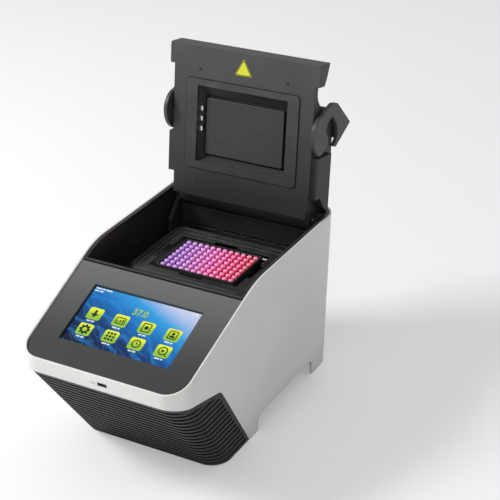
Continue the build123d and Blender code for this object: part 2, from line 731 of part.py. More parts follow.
with BuildPart() as peltier_modules:
    with BuildSketch(Plane.XY.offset(MODULE_LOW_Z)):
        with Locations((0, BLOCK_Y)):
            with GridLocations(MODULE_SIDE + 5, MODULE_SIDE + 5, 3, 2):
                Rectangle(MODULE_SIDE, MODULE_SIDE)
    extrude(amount=MODULE_THICK)
finish(peltier_modules.part, "peltier_modules")

with BuildPart() as heat_sink:
    with BuildSketch(Plane.XY.offset(MODULE_LOW_Z)):
        with Locations((0, BLOCK_Y)):
            Rectangle(SINK_W, SINK_D)
    extrude(amount=-SINK_BASE)
    with BuildSketch(Plane.XY.offset(MODULE_LOW_Z - SINK_BASE)):
        with Locations((0, BLOCK_Y)):
            with GridLocations((SINK_W - FIN_THICK) / (FINS - 1), 1, FINS, 1):
                Rectangle(FIN_THICK, SINK_D)
    extrude(amount=-FIN_H)
finish(heat_sink.part, "heat_sink")

with BuildPart() as fan_frames:
    with BuildSketch(Plane.XY.offset(SINK_LOW_Z)):
        for fan_x in (-FAN_X, FAN_X):
            with Locations((fan_x, BLOCK_Y)):
                RectangleRounded(FAN_SIDE, FAN_SIDE, 4)
                Circle(FAN_BORE, mode=Mode.SUBTRACT)
    extrude(amount=-FAN_THICK)
    with BuildSketch(Plane.XY.offset(SINK_LOW_Z - FAN_THICK)):
        for fan_x in (-FAN_X, FAN_X):
            with Locations((fan_x, BLOCK_Y)):
                Circle(14)
                with PolarLocations(24, 3):
                    Rectangle(24, 4)
    extrude(amount=2.5)
finish(fan_frames.part, "fan_frames")


def fan_rotor(name, x):
    """A fan's hub and its tilted blades, clear of the frame all round."""
    low = SINK_LOW_Z - FAN_THICK + 3.2
    with BuildPart() as rotor:
        with BuildSketch(Plane.XY.offset(low)):
            with Locations((x, BLOCK_Y)):
                Circle(14)
        extrude(amount=FAN_THICK - 5)
        with Locations((x, BLOCK_Y, low + (FAN_THICK - 5) / 2)):
            with PolarLocations(22.5, 7):
                Box(20, 1.6, FAN_THICK - 9, rotation=(35, 0, 0))
    finish(rotor.part, name)


fan_rotor("fan_rotor_left", -FAN_X)
fan_rotor("fan_rotor_right", FAN_X)

# Brackets that stand on the pan and carry the sink.
BRACKET_X = FAN_X + FAN_SIDE / 2 + 2
with BuildPart() as sink_brackets:
    for side in (-1, 1):
        with BuildSketch(Plane.XY.offset(PAN_Z + PAN_THICK)):
            with Locations((side * BRACKET_X, BLOCK_Y)):
                Rectangle(3, SINK_D - 10)
        extrude(amount=MODULE_LOW_Z - SINK_BASE - PAN_Z - PAN_THICK)
        with BuildSketch(Plane.XY.offset(MODULE_LOW_Z - SINK_BASE)):
            with Locations((side * (SINK_W / 2 + 7), BLOCK_Y)):
                Rectangle(14, SINK_D - 10)
        extrude(amount=3)
finish(sink_brackets.part, "sink_brackets")

# Power supply and main board on the pan.
SUPPLY_FRONT_Y = -100.0
with BuildPart() as power_supply:
    with BuildSketch(Plane.XY.offset(PAN_Z + PAN_THICK)):
        with Locations((-48, SUPPLY_FRONT_Y + 35)):
            RectangleRounded(92, 70, 2)
    extrude(amount=42)
finish(power_supply.part, "power_supply")

with BuildPart() as main_board:
    with BuildSketch(Plane.XY.offset(PAN_Z + PAN_THICK)):
        with Locations((52, SUPPLY_FRONT_Y + 35)):
            with GridLocations(76, 58, 2, 2):
                Circle(3)
    extrude(amount=STAND_OFF)
    with BuildSketch(Plane.XY.offset(PAN_Z + PAN_THICK + STAND_OFF)):
        with Locations((52, SUPPLY_FRONT_Y + 35)):
            Rectangle(88, 70)
    extrude(amount=BOARD_THICK)
    with BuildSketch(Plane.XY.offset(PAN_Z + PAN_THICK + STAND_OFF + BOARD_THICK)):
        with Locations((36, SUPPLY_FRONT_Y + 40), (70, SUPPLY_FRONT_Y + 25)):
            Rectangle(20, 20)
        with Locations((62, SUPPLY_FRONT_Y + 56)):
            Rectangle(50, 10)
    extrude(amount=6)
finish(main_board.part, "main_board")


def lid_prism(points, half, x=0.0):
    """A profile in the lid's (u, n), as wide as asked on both sides of one x."""
    with BuildPart() as solid:
        with BuildSketch(lid_side(x)):
            with BuildLine():
                Polyline(*points, close=True)
            make_face()
        extrude(amount=half, both=True)
    return solid.part


# Lid outer cover: one moulding with a neck for the handle and a round tail.
SEAL_U = 40.5
RECESS_U = 41.3
NECK_U = 95.0
STRIP_DEPTH_LOW = 13.0
STRIP_DEPTH_MID = 18.0
STRIP_DEPTH_TOP = 24.6
BACK_TOP_U = 63.0
NECK_N = -9.0
COVER_N = -LID_PLATE_THICK
LID_STEP_U = -28.0
with BuildPart() as lid_core:
    with BuildSketch(lid_side(0)):
        with BuildLine():
            Line((LID_STEP_U, COVER_N), (LID_STEP_U, -LID_BACK_DEPTH))
            Line((LID_STEP_U, -LID_BACK_DEPTH), (BACK_TOP_U, -LID_BACK_DEPTH))
            Spline((BACK_TOP_U, -LID_BACK_DEPTH), (78, -31), (NECK_U, -11), (LID_STRIP_U, NECK_N))
            Line((LID_STRIP_U, NECK_N), (LID_STRIP_U, COVER_N))
            Line((LID_STRIP_U, COVER_N), (LID_STEP_U, COVER_N))
        make_face()
    extrude(amount=LID_MAIN_HALF, both=True)
lid_low = lid_prism([(LID_LOW_U, COVER_N), (LID_LOW_U, -LID_THICK), (LID_STEP_U, -LID_THICK), (LID_STEP_U, COVER_N)], LID_LOW_HALF)
lid_strip = lid_prism(
    [
        (LID_STRIP_U, COVER_N),
        (LID_STRIP_U, -STRIP_DEPTH_LOW),
        (124, -STRIP_DEPTH_MID),
        (LID_TOP_U, -STRIP_DEPTH_TOP),
        (LID_TOP_U, COVER_N),
    ],
    LID_STRIP_HALF,
)
lid_wide = lid_prism(
    [(LID_WIDE_LOW_U, COVER_N - 1), (LID_WIDE_TOP_U, COVER_N - 1), (LID_WIDE_TOP_U, -LID_SIDE_DEPTH), (-48, -LID_SIDE_DEPTH), (-51, -36), (-46, -28), (-30, -16)],
    LID_WIDE_HALF,
)


def lid_space(gap):
    """The hollow of the lid cover, drawn in by a gap."""
    points = [
        (LID_LOW_U + LID_COVER_WALL + gap, COVER_N + 1),
        (LID_LOW_U + LID_COVER_WALL + gap, -12),
        (HINGE_U + TAIL_R + LID_COVER_WALL + gap, -14),
        (HINGE_U + TAIL_R + LID_COVER_WALL + gap, -LID_THICK + LID_COVER_WALL + gap),
        (LID_STEP_U + LID_COVER_WALL + gap, -LID_THICK + LID_COVER_WALL + gap),
        (LID_STEP_U + LID_COVER_WALL + gap, -LID_BACK_DEPTH + LID_COVER_WALL + gap),
        (BACK_TOP_U - 4 - gap, -LID_BACK_DEPTH + LID_COVER_WALL + gap),
        (80 - gap, -20 + gap),
        (93 - gap, COVER_N + 1),
    ]
    return lid_prism(points, LID_LOW_HALF - LID_COVER_WALL - gap)


lid_hollow = lid_space(0)
housing_space = lid_space(FIT)
strip_hollow = lid_prism(
    [(LID_STRIP_U + LID_COVER_WALL, COVER_N + 1), (LID_STRIP_U + LID_COVER_WALL, -10.5), (LID_TOP_U - LID_COVER_WALL, -19.5), (LID_TOP_U - LID_COVER_WALL, COVER_N + 1)],
    LID_STRIP_HALF - LID_COVER_WALL,
)
PIN_TAIL_HALF = 97.0
with BuildPart() as lid_cover:
    add(lid_core.part)
    add(lid_low)
    add(lid_strip)
    add(lid_wide)
    add(lid_hollow, mode=Mode.SUBTRACT)
    add(strip_hollow, mode=Mode.SUBTRACT)
    with BuildSketch(lid_side(0)):
        with Locations((HINGE_U, HINGE_N)):
            Circle(TAIL_R)
        with Locations(((HINGE_U + LID_LOW_U + LID_COVER_WALL) / 2, HINGE_N)):
            Rectangle(LID_LOW_U + LID_COVER_WALL - HINGE_U, 2 * TAIL_R)
    extrude(amount=PIN_TAIL_HALF, both=True)
    with BuildSketch(lid_side(0)):
        with Locations((HINGE_U, HINGE_N)):
            Circle(HINGE_SHAFT_R + HINGE_RUN)
    extrude(amount=PIN_TAIL_HALF + 5, both=True, mode=Mode.SUBTRACT)
    for side in (-1, 1):
        with BuildSketch(lid_side(side * (LID_MAIN_HALF + 1))):
            with Locations((PIVOT_U, PIVOT_N)):
                Circle(LEVER_SHAFT_R)
        extrude(amount=8, both=True, mode=Mode.SUBTRACT)
finish(lid_cover.part, "lid_cover")

# Lid inner plate: the flat face with a seat for the seal and the heater opening.
SEAL_SEAT = 2.0
SEAL_CORNER_R = 5.0
HOUSING_W = 140.0
HOUSING_H = 110.0
with BuildPart() as lid_plate:
    with BuildSketch(LID.offset(COVER_N)):
        with BuildLine():
            FilletPolyline(
                (-LID_LOW_HALF, LID_LOW_U),
                (LID_LOW_HALF, LID_LOW_U),
                (LID_LOW_HALF, LID_STEP_U),
                (LID_MAIN_HALF, LID_STEP_U),
                (LID_MAIN_HALF, LID_STRIP_U),
                (LID_STRIP_HALF, LID_STRIP_U),
                (LID_STRIP_HALF, LID_TOP_U),
                (-LID_STRIP_HALF, LID_TOP_U),
                (-LID_STRIP_HALF, LID_STRIP_U),
                (-LID_MAIN_HALF, LID_STRIP_U),
                (-LID_MAIN_HALF, LID_STEP_U),
                (-LID_LOW_HALF, LID_STEP_U),
                radius=1.0,
                close=True,
            )
        make_face()
    extrude(amount=LID_PLATE_THICK)
    with BuildSketch(LID):
        with Locations((0, SEAL_U)):
            RectangleRounded(SEAL_W + 1.6, SEAL_H + 1.6, SEAL_CORNER_R + 0.8)
    extrude(amount=-SEAL_SEAT, mode=Mode.SUBTRACT)
    with BuildSketch(LID):
        with Locations((0, RECESS_U)):
            Rectangle(SEAL_OPEN_W, SEAL_OPEN_H)
    extrude(amount=-LID_PLATE_THICK, mode=Mode.SUBTRACT)
finish(lid_plate.part, "lid_plate")

with BuildPart() as lid_seal:
    with BuildSketch(LID.offset(-SEAL_SEAT)):
        with Locations((0, SEAL_U)):
            RectangleRounded(SEAL_W, SEAL_H, SEAL_CORNER_R)
        with Locations((0, RECESS_U)):
            Rectangle(SEAL_OPEN_W, SEAL_OPEN_H, mode=Mode.SUBTRACT)
    extrude(amount=SEAL_SEAT + SEAL_PROUD)
finish(lid_seal.part, "lid_seal")

# Heater housing: sloping walls from the opening down to the plate, and a deep pocket.
PLATE_U = PLATE_H / 2
POCKET_GAP = 2.0
HOUSING_N = -21.5
POCKET_N = -19.5
GUIDE_R = 2.5
GUIDE_X = 44.0
GUIDE_U = 24.0
with BuildPart() as heater_housing:
    with BuildSketch(LID.offset(COVER_N)):
        with Locations((0, RECESS_U)):
            Rectangle(HOUSING_W, HOUSING_H)
    extrude(amount=HOUSING_N - COVER_N)
    add(housing_space, mode=Mode.INTERSECT)
    with BuildSketch(LID.offset(COVER_N)):
        with Locations((0, RECESS_U)):
            Rectangle(SEAL_OPEN_W, SEAL_OPEN_H)
    with BuildSketch(LID.offset(-PLATE_RECESS - 3)):
        with Locations((0, PLATE_U)):
            Rectangle(PLATE_W + 2 * POCKET_GAP, PLATE_H + 2 * POCKET_GAP)
    loft(mode=Mode.SUBTRACT)
    with BuildSketch(LID.offset(-PLATE_RECESS - 3)):
        with Locations((0, PLATE_U)):
            Rectangle(PLATE_W + 2 * POCKET_GAP, PLATE_H + 2 * POCKET_GAP)
    extrude(amount=POCKET_N + PLATE_RECESS + 3, mode=Mode.SUBTRACT)
    with BuildSketch(LID.offset(POCKET_N)):
        with Locations((0, PLATE_U)):
            with GridLocations(2 * GUIDE_X, 2 * GUIDE_U, 2, 2):
                Circle(GUIDE_R + 0.05)
    extrude(amount=HOUSING_N - POCKET_N, mode=Mode.SUBTRACT)
finish(heater_housing.part, "heater_housing")

# Heated plate with its heater mat and four guide pins; it moves out as the levers turn.
MAT_THICK = 1.0
PLATE_BACK_N = -PLATE_RECESS - PLATE_THICK
with BuildPart() as heated_plate:
    with BuildSketch(LID.offset(-PLATE_RECESS)):
        with Locations((0, PLATE_U)):
            RectangleRounded(PLATE_W, PLATE_H, 2)
    extrude(amount=-PLATE_THICK)
    chamfer(heated_plate.faces().sort_by(Axis((0, 0, 0), tuple(LID.z_dir)))[-1].edges(), length=0.6)
finish(heated_plate.part, "heated_plate")

with BuildPart() as heater_mat:
    with BuildSketch(LID.offset(PLATE_BACK_N)):
        with Locations((0, PLATE_U)):
            Rectangle(PLATE_W - 4, PLATE_H - 4)
            with GridLocations(2 * GUIDE_X, 2 * GUIDE_U, 2, 2):
                Circle(GUIDE_R + 0.5, mode=Mode.SUBTRACT)
    extrude(amount=-MAT_THICK)
finish(heater_mat.part, "heater_mat")

GUIDE_LENGTH = 19.0
with BuildPart() as guide_pins:
    with BuildSketch(LID.offset(PLATE_BACK_N)):
        with Locations((0, PLATE_U)):
            with GridLocations(2 * GUIDE_X, 2 * GUIDE_U, 2, 2):
                Circle(GUIDE_R)
    extrude(amount=-GUIDE_LENGTH)
finish(guide_pins.part, "guide_pins")

INSULATION_THICK = 4.0
with BuildPart() as lid_insulation:
    with BuildSketch(LID.offset(POCKET_N)):
        with Locations((0, PLATE_U)):
            Rectangle(PLATE_W, PLATE_H)
            with GridLocations(2 * GUIDE_X, 2 * GUIDE_U, 2, 2):
                Circle(GUIDE_R + 0.6, mode=Mode.SUBTRACT)
    extrude(amount=INSULATION_THICK)
finish(lid_insulation.part, "lid_insulation")

# Small pieces on the lid: terminals beside the plate, warning triangle and screws.
TERMINAL_X = -(PLATE_W / 2 + POCKET_GAP + 3.1)
TERMINAL_U = 47.3
TERMINAL_PITCH = 13.2
with BuildPart() as heater_terminals:
    with BuildSketch(LID.offset(-9)):
        with Locations((TERMINAL_X, TERMINAL_U)):
            with GridLocations(1, TERMINAL_PITCH, 1, 3):
                RectangleRounded(4.4, 6, 1)
    extrude(amount=4.5)
    add(heater_housing.part, mode=Mode.SUBTRACT)
finish(heater_terminals.part, "heater_terminals")

TRIANGLE_U = 112.8
TRIANGLE_SIDE = 25.0
TRIANGLE_HIGH = 22.0
TRIANGLE_THICK = 0.5
with BuildPart() as warning_triangle:
    with BuildSketch(LID):
        with BuildLine():
            FilletPolyline(
                (-TRIANGLE_SIDE / 2, TRIANGLE_U),
                (TRIANGLE_SIDE / 2, TRIANGLE_U),
                (0, TRIANGLE_U + TRIANGLE_HIGH),
                radius=1.5,
                close=True,
            )
        make_face()
    extrude(amount=TRIANGLE_THICK)
finish(warning_triangle.part, "warning_triangle")

LID_SCREW_R = 2.0
LID_SCREW_X = 63.0
LID_SCREW_TOP_U = 112.0
LID_SCREW_LOW_U = -36.5
with BuildPart() as lid_screws:
    with BuildSketch(LID):
        for screw_u in (LID_SCREW_TOP_U, LID_SCREW_LOW_U):
            with Locations((-LID_SCREW_X, screw_u), (LID_SCREW_X, screw_u)):
                Circle(LID_SCREW_R)
    extrude(amount=0.4)
finish(lid_screws.part, "lid_screws")

# Levers: a hooked plate on each side of the lid, joined by the handle bar.
LEVER_THICK = LEVER_OUTER - LEVER_INNER
PIN_REACH = 3.4


def lever(name, side):
    """One hooked lever, with a blind bore for its pivot pin."""
    with BuildPart() as plate:
        with BuildSketch(lid_side(side * (LEVER_INNER + LEVER_OUTER) / 2)):
            with BuildLine():
                ThreePointArc((27, -6), (38.4, 6.8), (53, 11.4))
                ThreePointArc((53, 11.4), (68, 7.4), (78, -9))
                ThreePointArc((78, -9), (84, -22), (89, -36))
                FilletPolyline((89, -36), (87, -49), (54, -90), (29, -51.5), (32.5, -42.6), radius=[9, 1.5, 2])
                Spline((32.5, -42.6), (42, -54.5), (52.4, -53.6), (63, -47.5), (71.5, -38.3))
                ThreePointArc((71.5, -38.3), (67, -27.5), (58.4, -20.4))
                Line((58.4, -20.4), (52.6, -22.6))
                ThreePointArc((52.6, -22.6), (41.9, -29.1), (32, -20.6))
                ThreePointArc((32, -20.6), (28.2, -13.5), (27, -6))
            make_face()
        extrude(amount=LEVER_THICK / 2, both=True)
        with BuildSketch(lid_side(side * LEVER_INNER)):
            with Locations((PIVOT_U, PIVOT_N)):
                Circle(LEVER_SHAFT_R + HINGE_RUN)
        extrude(amount=side * (PIN_REACH + HINGE_RUN), mode=Mode.SUBTRACT)
    finish(plate.part, name)


lever("lever_left", -1)
lever("lever_right", 1)
with BuildPart() as handle_bar:
    with BuildSketch(lid_side(0)):
        with BuildLine():
            inner_arc = CenterArc((PIVOT_U, PIVOT_N), HANDLE_IN_R, HANDLE_START, HANDLE_SWEEP)
            outer_arc = CenterArc((PIVOT_U, PIVOT_N), HANDLE_OUT_R, HANDLE_START, HANDLE_SWEEP)
            Line(inner_arc @ 0, outer_arc @ 0)
            Line(inner_arc @ 1, outer_arc @ 1)
        make_face()
    extrude(amount=LEVER_INNER, both=True)
    fillet(handle_bar.edges().filter_by(Axis.X), 2.4)
finish(handle_bar.part, "handle_bar")

with BuildPart() as pivot_pins:
    for side in (-1, 1):
        with BuildSketch(lid_side(side * (LID_MAIN_HALF - 5))):
            with Locations((PIVOT_U, PIVOT_N)):
                Circle(LEVER_SHAFT_R)
        extrude(amount=side * (LEVER_INNER + PIN_REACH - LID_MAIN_HALF + 5))
finish(pivot_pins.part, "pivot_pins")

# Hinge: a shaft through the lid's tail, held in a cheek on each side of the cavity.
CHEEK_INNER = 100.0
CHEEK_THICK = 6.0
SHAFT_HALF = CHEEK_INNER + CHEEK_THICK
WASHER_R = 7.0
with BuildPart() as hinge_shaft:
    with BuildSketch(Plane.YZ):
        with Locations((HINGE_Y, HINGE_Z)):
            Circle(HINGE_SHAFT_R)
    extrude(amount=SHAFT_HALF, both=True)
finish(hinge_shaft.part, "hinge_shaft")

with BuildPart() as hinge_cheeks:
    for side in (-1, 1):
        with BuildSketch(Plane.YZ.offset(side * (CHEEK_INNER + CHEEK_THICK / 2))):
            with BuildLine():
                Polyline(
                    (HINGE_Y - 33, GUTTER_Z),
                    (HINGE_Y - 33, HINGE_Z - 30),
                    (HINGE_Y - 8, HINGE_Z - 5),
                    (HINGE_Y - 8, HINGE_Z + 7),
                    (HINGE_Y + 7, HINGE_Z + 7),
                    (HINGE_Y + 13, HINGE_Z),
                    (HINGE_Y + 13, SHELF_Z),
                    (CAVITY_BACK_Y, SHELF_Z),
                    (CAVITY_BACK_Y, GUTTER_Z),
                    close=True,
                )
            make_face()
            with Locations((HINGE_Y, HINGE_Z)):
                Circle(HINGE_SHAFT_R, mode=Mode.SUBTRACT)
        extrude(amount=CHEEK_THICK / 2, both=True)
finish(hinge_cheeks.part, "hinge_cheeks")

with BuildPart() as hinge_washers:
    for side in (-1, 1):
        with BuildSketch(Plane.YZ.offset(side * (PIN_TAIL_HALF + CHEEK_INNER) / 2)):
            with Locations((HINGE_Y, HINGE_Z)):
                Circle(WASHER_R)
                Circle(HINGE_SHAFT_R, mode=Mode.SUBTRACT)
        extrude(amount=(CHEEK_INNER - PIN_TAIL_HALF) / 2 - 0.1, both=True)
finish(hinge_washers.part, "hinge_washers")

# Ball catches in the cavity walls that the closed levers ride over.
CATCH_Y = 40.2
CATCH_Z = 185.6
CATCH_R = 2.2
CATCH_PROUD = 0.6
with BuildPart() as ball_catches:
    for side in (-1, 1):
        with BuildSketch(Plane.YZ.offset(side * (CAVITY_HALF - CATCH_PROUD))):
            with Locations((CATCH_Y, CATCH_Z)):
                Circle(CATCH_R)
        extrude(amount=side * CATCH_PROUD)
finish(ball_catches.part, "ball_catches")
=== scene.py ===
"""Looks of the open thermal cycler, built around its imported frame. Metres, +Z up, front towards -Y."""
from math import cos, pi, radians, sin

import bmesh
import bpy
from bpy.props import FloatProperty, FloatVectorProperty, IntProperty, PointerProperty
from mathutils import Matrix, Vector


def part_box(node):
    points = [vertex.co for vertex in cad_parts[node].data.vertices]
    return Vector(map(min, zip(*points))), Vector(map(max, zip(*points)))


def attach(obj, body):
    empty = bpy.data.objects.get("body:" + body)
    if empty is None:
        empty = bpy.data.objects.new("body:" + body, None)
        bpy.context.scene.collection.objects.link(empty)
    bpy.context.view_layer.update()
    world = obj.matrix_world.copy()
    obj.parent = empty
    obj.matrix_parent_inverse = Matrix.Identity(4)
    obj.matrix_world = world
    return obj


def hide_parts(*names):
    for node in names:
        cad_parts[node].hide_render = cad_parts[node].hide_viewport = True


bl_info = {
    "name": "Thermal cycler looks",
    "version": (1, 0, 0),
    "blender": (4, 5, 0),
    "location": "3D View > Sidebar > Cycler",
    "description": "Dresses the packed thermal cycler: lid, levers, block with tubes, screen, case and stage",
    "category": "Object",
}

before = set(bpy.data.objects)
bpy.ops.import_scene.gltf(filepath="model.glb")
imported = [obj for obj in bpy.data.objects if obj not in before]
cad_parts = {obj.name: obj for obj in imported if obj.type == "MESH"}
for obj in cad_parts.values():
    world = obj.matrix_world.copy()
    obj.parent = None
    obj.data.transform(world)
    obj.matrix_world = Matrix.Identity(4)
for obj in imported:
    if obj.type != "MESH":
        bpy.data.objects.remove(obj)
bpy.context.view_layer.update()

# Lid coordinates: u runs up the open lid, n points out of its inner face.
LEAN = radians(9.11)
U_DIR = Vector((0, sin(LEAN), cos(LEAN)))
N_DIR = Vector((0, -cos(LEAN), sin(LEAN)))
HINGE = Vector((0, 0.1388, 0.2187))
LID_AT = HINGE + U_DIR * 0.0643 + N_DIR * 0.0286

# Panel coordinates: v runs up the sloping front panel, w stands off it.
TILT = radians(21.3)
V_DIR = Vector((0, cos(TILT), sin(TILT)))
W_DIR = Vector((0, -sin(TILT), cos(TILT)))
FRONT_Y = -0.218
PANEL_AT = Vector((0, FRONT_Y + 0.002 + 0.153 * cos(TILT), 0.159 + 0.153 * sin(TILT)))

# Screen window on the panel, and the tube field on the block.
SCREEN_W = 0.1528
SCREEN_H = 0.0868
SCREEN_V = -0.0737
BLOCK_Y = 0.037
TUBE_FIELD_W = 0.1056
TUBE_FIELD_D = 0.063

# The photograph's camera: direction, distance and lens fitted to its corners and holes.
VIEW_TURN = radians(30.617)
VIEW_RISE = radians(28.216)
VIEW_ROLL = radians(-2.142)
VIEW_REACH = 1.929707
VIEW_LENS = 104.566
VIEW_TARGET = Vector((0, 0.13889, 0.15158))


def lid_place(x, u, n):
    """A lid coordinate in the row frame, in metres."""
    return LID_AT + Vector((x, 0, 0)) + U_DIR * u + N_DIR * n


def panel_place(x, v, w):
    """A front panel coordinate in the row frame, in metres."""
    return PANEL_AT + Vector((x, 0, 0)) + V_DIR * v + W_DIR * w


class Level:
    """A number in a shader tree; its operators add Math nodes."""

    def __init__(self, paint, socket):
        self.paint = paint
        self.socket = socket

    def math(self, operation, *others):
        node = self.paint.node("ShaderNodeMath", {"operation": operation}, [self, *others])
        return Level(self.paint, node.outputs[0])

    def __add__(self, other):
        return self.math("ADD", other)

    __radd__ = __add__

    def __sub__(self, other):
        return self.math("SUBTRACT", other)

    def __rsub__(self, other):
        return (self * -1) + other

    def __mul__(self, other):
        return self.math("MULTIPLY", other)

    __rmul__ = __mul__

    def __truediv__(self, other):
        return self.math("DIVIDE", other)

    def step(self, low, high):
        """0 below low, 1 above high, and smooth between them."""
        sockets = {0: self, 1: low, 2: high, 3: 0.0, 4: 1.0}
        node = self.paint.node("ShaderNodeMapRange", {"interpolation_type": "SMOOTHSTEP"}, sockets)
        return Level(self.paint, node.outputs[0])


class Paint:
    """One material whose tree is built by calls."""

    def __init__(self, name):
        self.material = bpy.data.materials.new(name)
        self.material.use_nodes = True
        self.tree = self.material.node_tree
        self.tree.nodes.clear()
        self.out = self.tree.nodes.new("ShaderNodeOutputMaterial")

    def node(self, kind, settings=None, sockets=None):
        """Adds a node, with its settings first and then the values or links of its sockets."""
        node = self.tree.nodes.new(kind)
        for key, value in (settings or {}).items():
            if key == "stops":
                ramp = node.color_ramp
                while len(ramp.elements) < len(value):
                    ramp.elements.new(0.5)
                for element, (position, color) in zip(ramp.elements, value):
                    element.position = position
                    element.color = (*color, 1)
            else:
                setattr(node, key, value)
        entries = sockets.items() if isinstance(sockets, dict) else enumerate(sockets or [])
        for key, value in entries:
            socket = node.inputs[key]
            if isinstance(value, Level):
                self.tree.links.new(value.socket, socket)
            elif isinstance(value, bpy.types.NodeSocket):
                self.tree.links.new(value, socket)
            elif isinstance(value, (tuple, list)) and socket.type == "RGBA":
                socket.default_value = (*value[:3], 1)
            else:
                socket.default_value = value
        return node

    def place(self):
        """The Object coordinates."""
        return self.node("ShaderNodeTexCoord").outputs["Object"]

    def parts(self):
        """The Object coordinates as three numbers."""
        split = self.node("ShaderNodeSeparateXYZ", None, [self.place()])
        return [Level(self, split.outputs[i]) for i in range(3)]

    def noise(self, scale, detail=3.0, rough=0.55, stretch=(1, 1, 1)):
        """Noise of a scale per metre, stretched along the axes."""
        where = self.node("ShaderNodeMapping", None, {"Vector": self.place(), "Scale": stretch})
        sockets = {"Vector": where.outputs[0], "Scale": scale, "Detail": detail, "Roughness": rough}
        return Level(self, self.node("ShaderNodeTexNoise", None, sockets).outputs[0])

    def cells(self, scale):
        """Distance in a cell pattern of a scale per metre."""
        node = self.node("ShaderNodeTexVoronoi", None, {"Vector": self.place(), "Scale": scale})
        return Level(self, node.outputs["Distance"])

    def mix(self, share, first, second):
        """A colour between two colours."""
        node = self.node("ShaderNodeMix", {"data_type": "RGBA"}, {0: share, 6: first, 7: second})
        return node.outputs[2]

    def ramp(self, share, stops):
        """A colour from a row of stops."""
        return self.node("ShaderNodeValToRGB", {"stops": stops}, [share]).outputs[0]

    def bump(self, height, strength, distance=0.0003, edge=0.0):
        """A surface relief from a height, over edges rounded by a radius."""
        sockets = {"Strength": strength, "Distance": distance, "Height": height}
        if edge:
            sockets["Normal"] = self.node("ShaderNodeBevel", {"samples": 6}, {"Radius": edge}).outputs[0]
        return self.node("ShaderNodeBump", None, sockets).outputs[0]

    def shade(self, **sockets):
        """The main shader, wired to the output."""
        names = {key.replace("_", " "): value for key, value in sockets.items()}
        shader = self.node("ShaderNodeBsdfPrincipled", None, names)
        self.tree.links.new(shader.outputs[0], self.out.inputs[0])
        return self.material


def grey(level):
    """A neutral colour."""
    return (level, level, level)


def shift(color, factor):
    """A colour made lighter or darker."""
    return tuple(min(1.0, c * factor) for c in color)


def moulded(name, color, rough, grain=2600.0, relief=0.25, spread=0.08, dust=0.0, edge=0.0, painted_shade=None):
    """Moulded plastic: fine grain, faint clouds, softened edges, dust on top and painted shade that darkens
    it below a band of heights.
    """
    paint = Paint(name)
    cloud = paint.noise(22, 4)
    fleck = paint.noise(grain, 2, 0.7)
    tone = cloud * 0.6 + fleck * 0.4
    base = paint.mix(tone.step(0.3, 0.7), shift(color, 1 - spread), shift(color, 1 + spread))
    # Painted shade: the colour darkens below a band of heights, the way the lower part would look in shade.
    if painted_shade:
        low, high, share = painted_shade
        above_painted_shade = paint.parts()[2].step(low, high)
        base = paint.mix((1 - above_painted_shade) * share, base, shift(color, 0.12))
    if dust:
        faces = paint.node("ShaderNodeNewGeometry").outputs["Normal"]
        up = paint.node("ShaderNodeSeparateXYZ", None, [faces])
        lies = Level(paint, up.outputs[2]).step(0.3, 1.0) * cloud.step(0.35, 0.8) * dust
        base = paint.mix(lies, base, grey(0.42))
    return paint.shade(
        Base_Color=base,
        Roughness=fleck * 0.14 + cloud * 0.1 + (rough - 0.12),
        Specular_IOR_Level=0.35,
        Normal=paint.bump(fleck, relief, 0.0002, edge),
    )


def metal(name, color, rough, scale=900.0, stretch=(1, 1, 1), relief=0.15, share=1.0):
    """Metal with a worked surface: stretched noise makes brush lines."""
    paint = Paint(name)
    lines = paint.noise(scale, 3, 0.6, stretch)
    cloud = paint.noise(30, 3)
    base = paint.mix(lines.step(0.3, 0.7), shift(color, 0.82), shift(color, 1.14))
    return paint.shade(
        Base_Color=base,
        Metallic=share,
        Roughness=lines * 0.2 + cloud * 0.12 + (rough - 0.16),
        Normal=paint.bump(lines, relief, 0.0001),
    )


def rubbery(name, color, rough=0.62, painted_shade=None):
    """Rubber or silicone: soft, matt, with fine dust specks and painted shade that darkens it below a band of
    heights.
    """
    paint = Paint(name)
    speck = paint.noise(1500, 2, 0.7)
    cloud = paint.noise(40, 3)
    base = paint.mix((speck * cloud).step(0.2, 0.45), shift(color, 0.8), shift(color, 1.35))
    # Painted shade: darker below a band of heights, matching the lid's painted shade.
    if painted_shade:
        low, high, share = painted_shade
        base = paint.mix((1 - paint.parts()[2].step(low, high)) * share, base, shift(color, 0.2))
    return paint.shade(
        Base_Color=base,
        Roughness=cloud * 0.16 + (rough - 0.08),
        Specular_IOR_Level=0.4,
        Normal=paint.bump(speck, 0.2, 0.0002, 0.001),
    )


def case_white():
    """Painted white case: satin coat, orange-peel relief and patchy darkening low down."""
    paint = Paint("case_white")
    z = paint.parts()[2]
    peel = paint.noise(700, 2, 0.5)
    cloud = paint.noise(9, 4)
    # Darker in patches towards the bottom, over the lowest 5 cm.
    low = 1 - z.step(0.0, 0.05)
    base = paint.mix(cloud.step(0.3, 0.7), (0.665, 0.66, 0.645), (0.705, 0.7, 0.685))
    base = paint.mix(low * cloud * 0.5, base, (0.42, 0.41, 0.39))
    return paint.shade(
        Base_Color=base,
        Roughness=cloud * 0.12 + peel * 0.06 + 0.32,
        Coat_Weight=0.25,
        Coat_Roughness=0.2,
        Normal=paint.bump(peel, 0.08, 0.0002, 0.0014),
    )


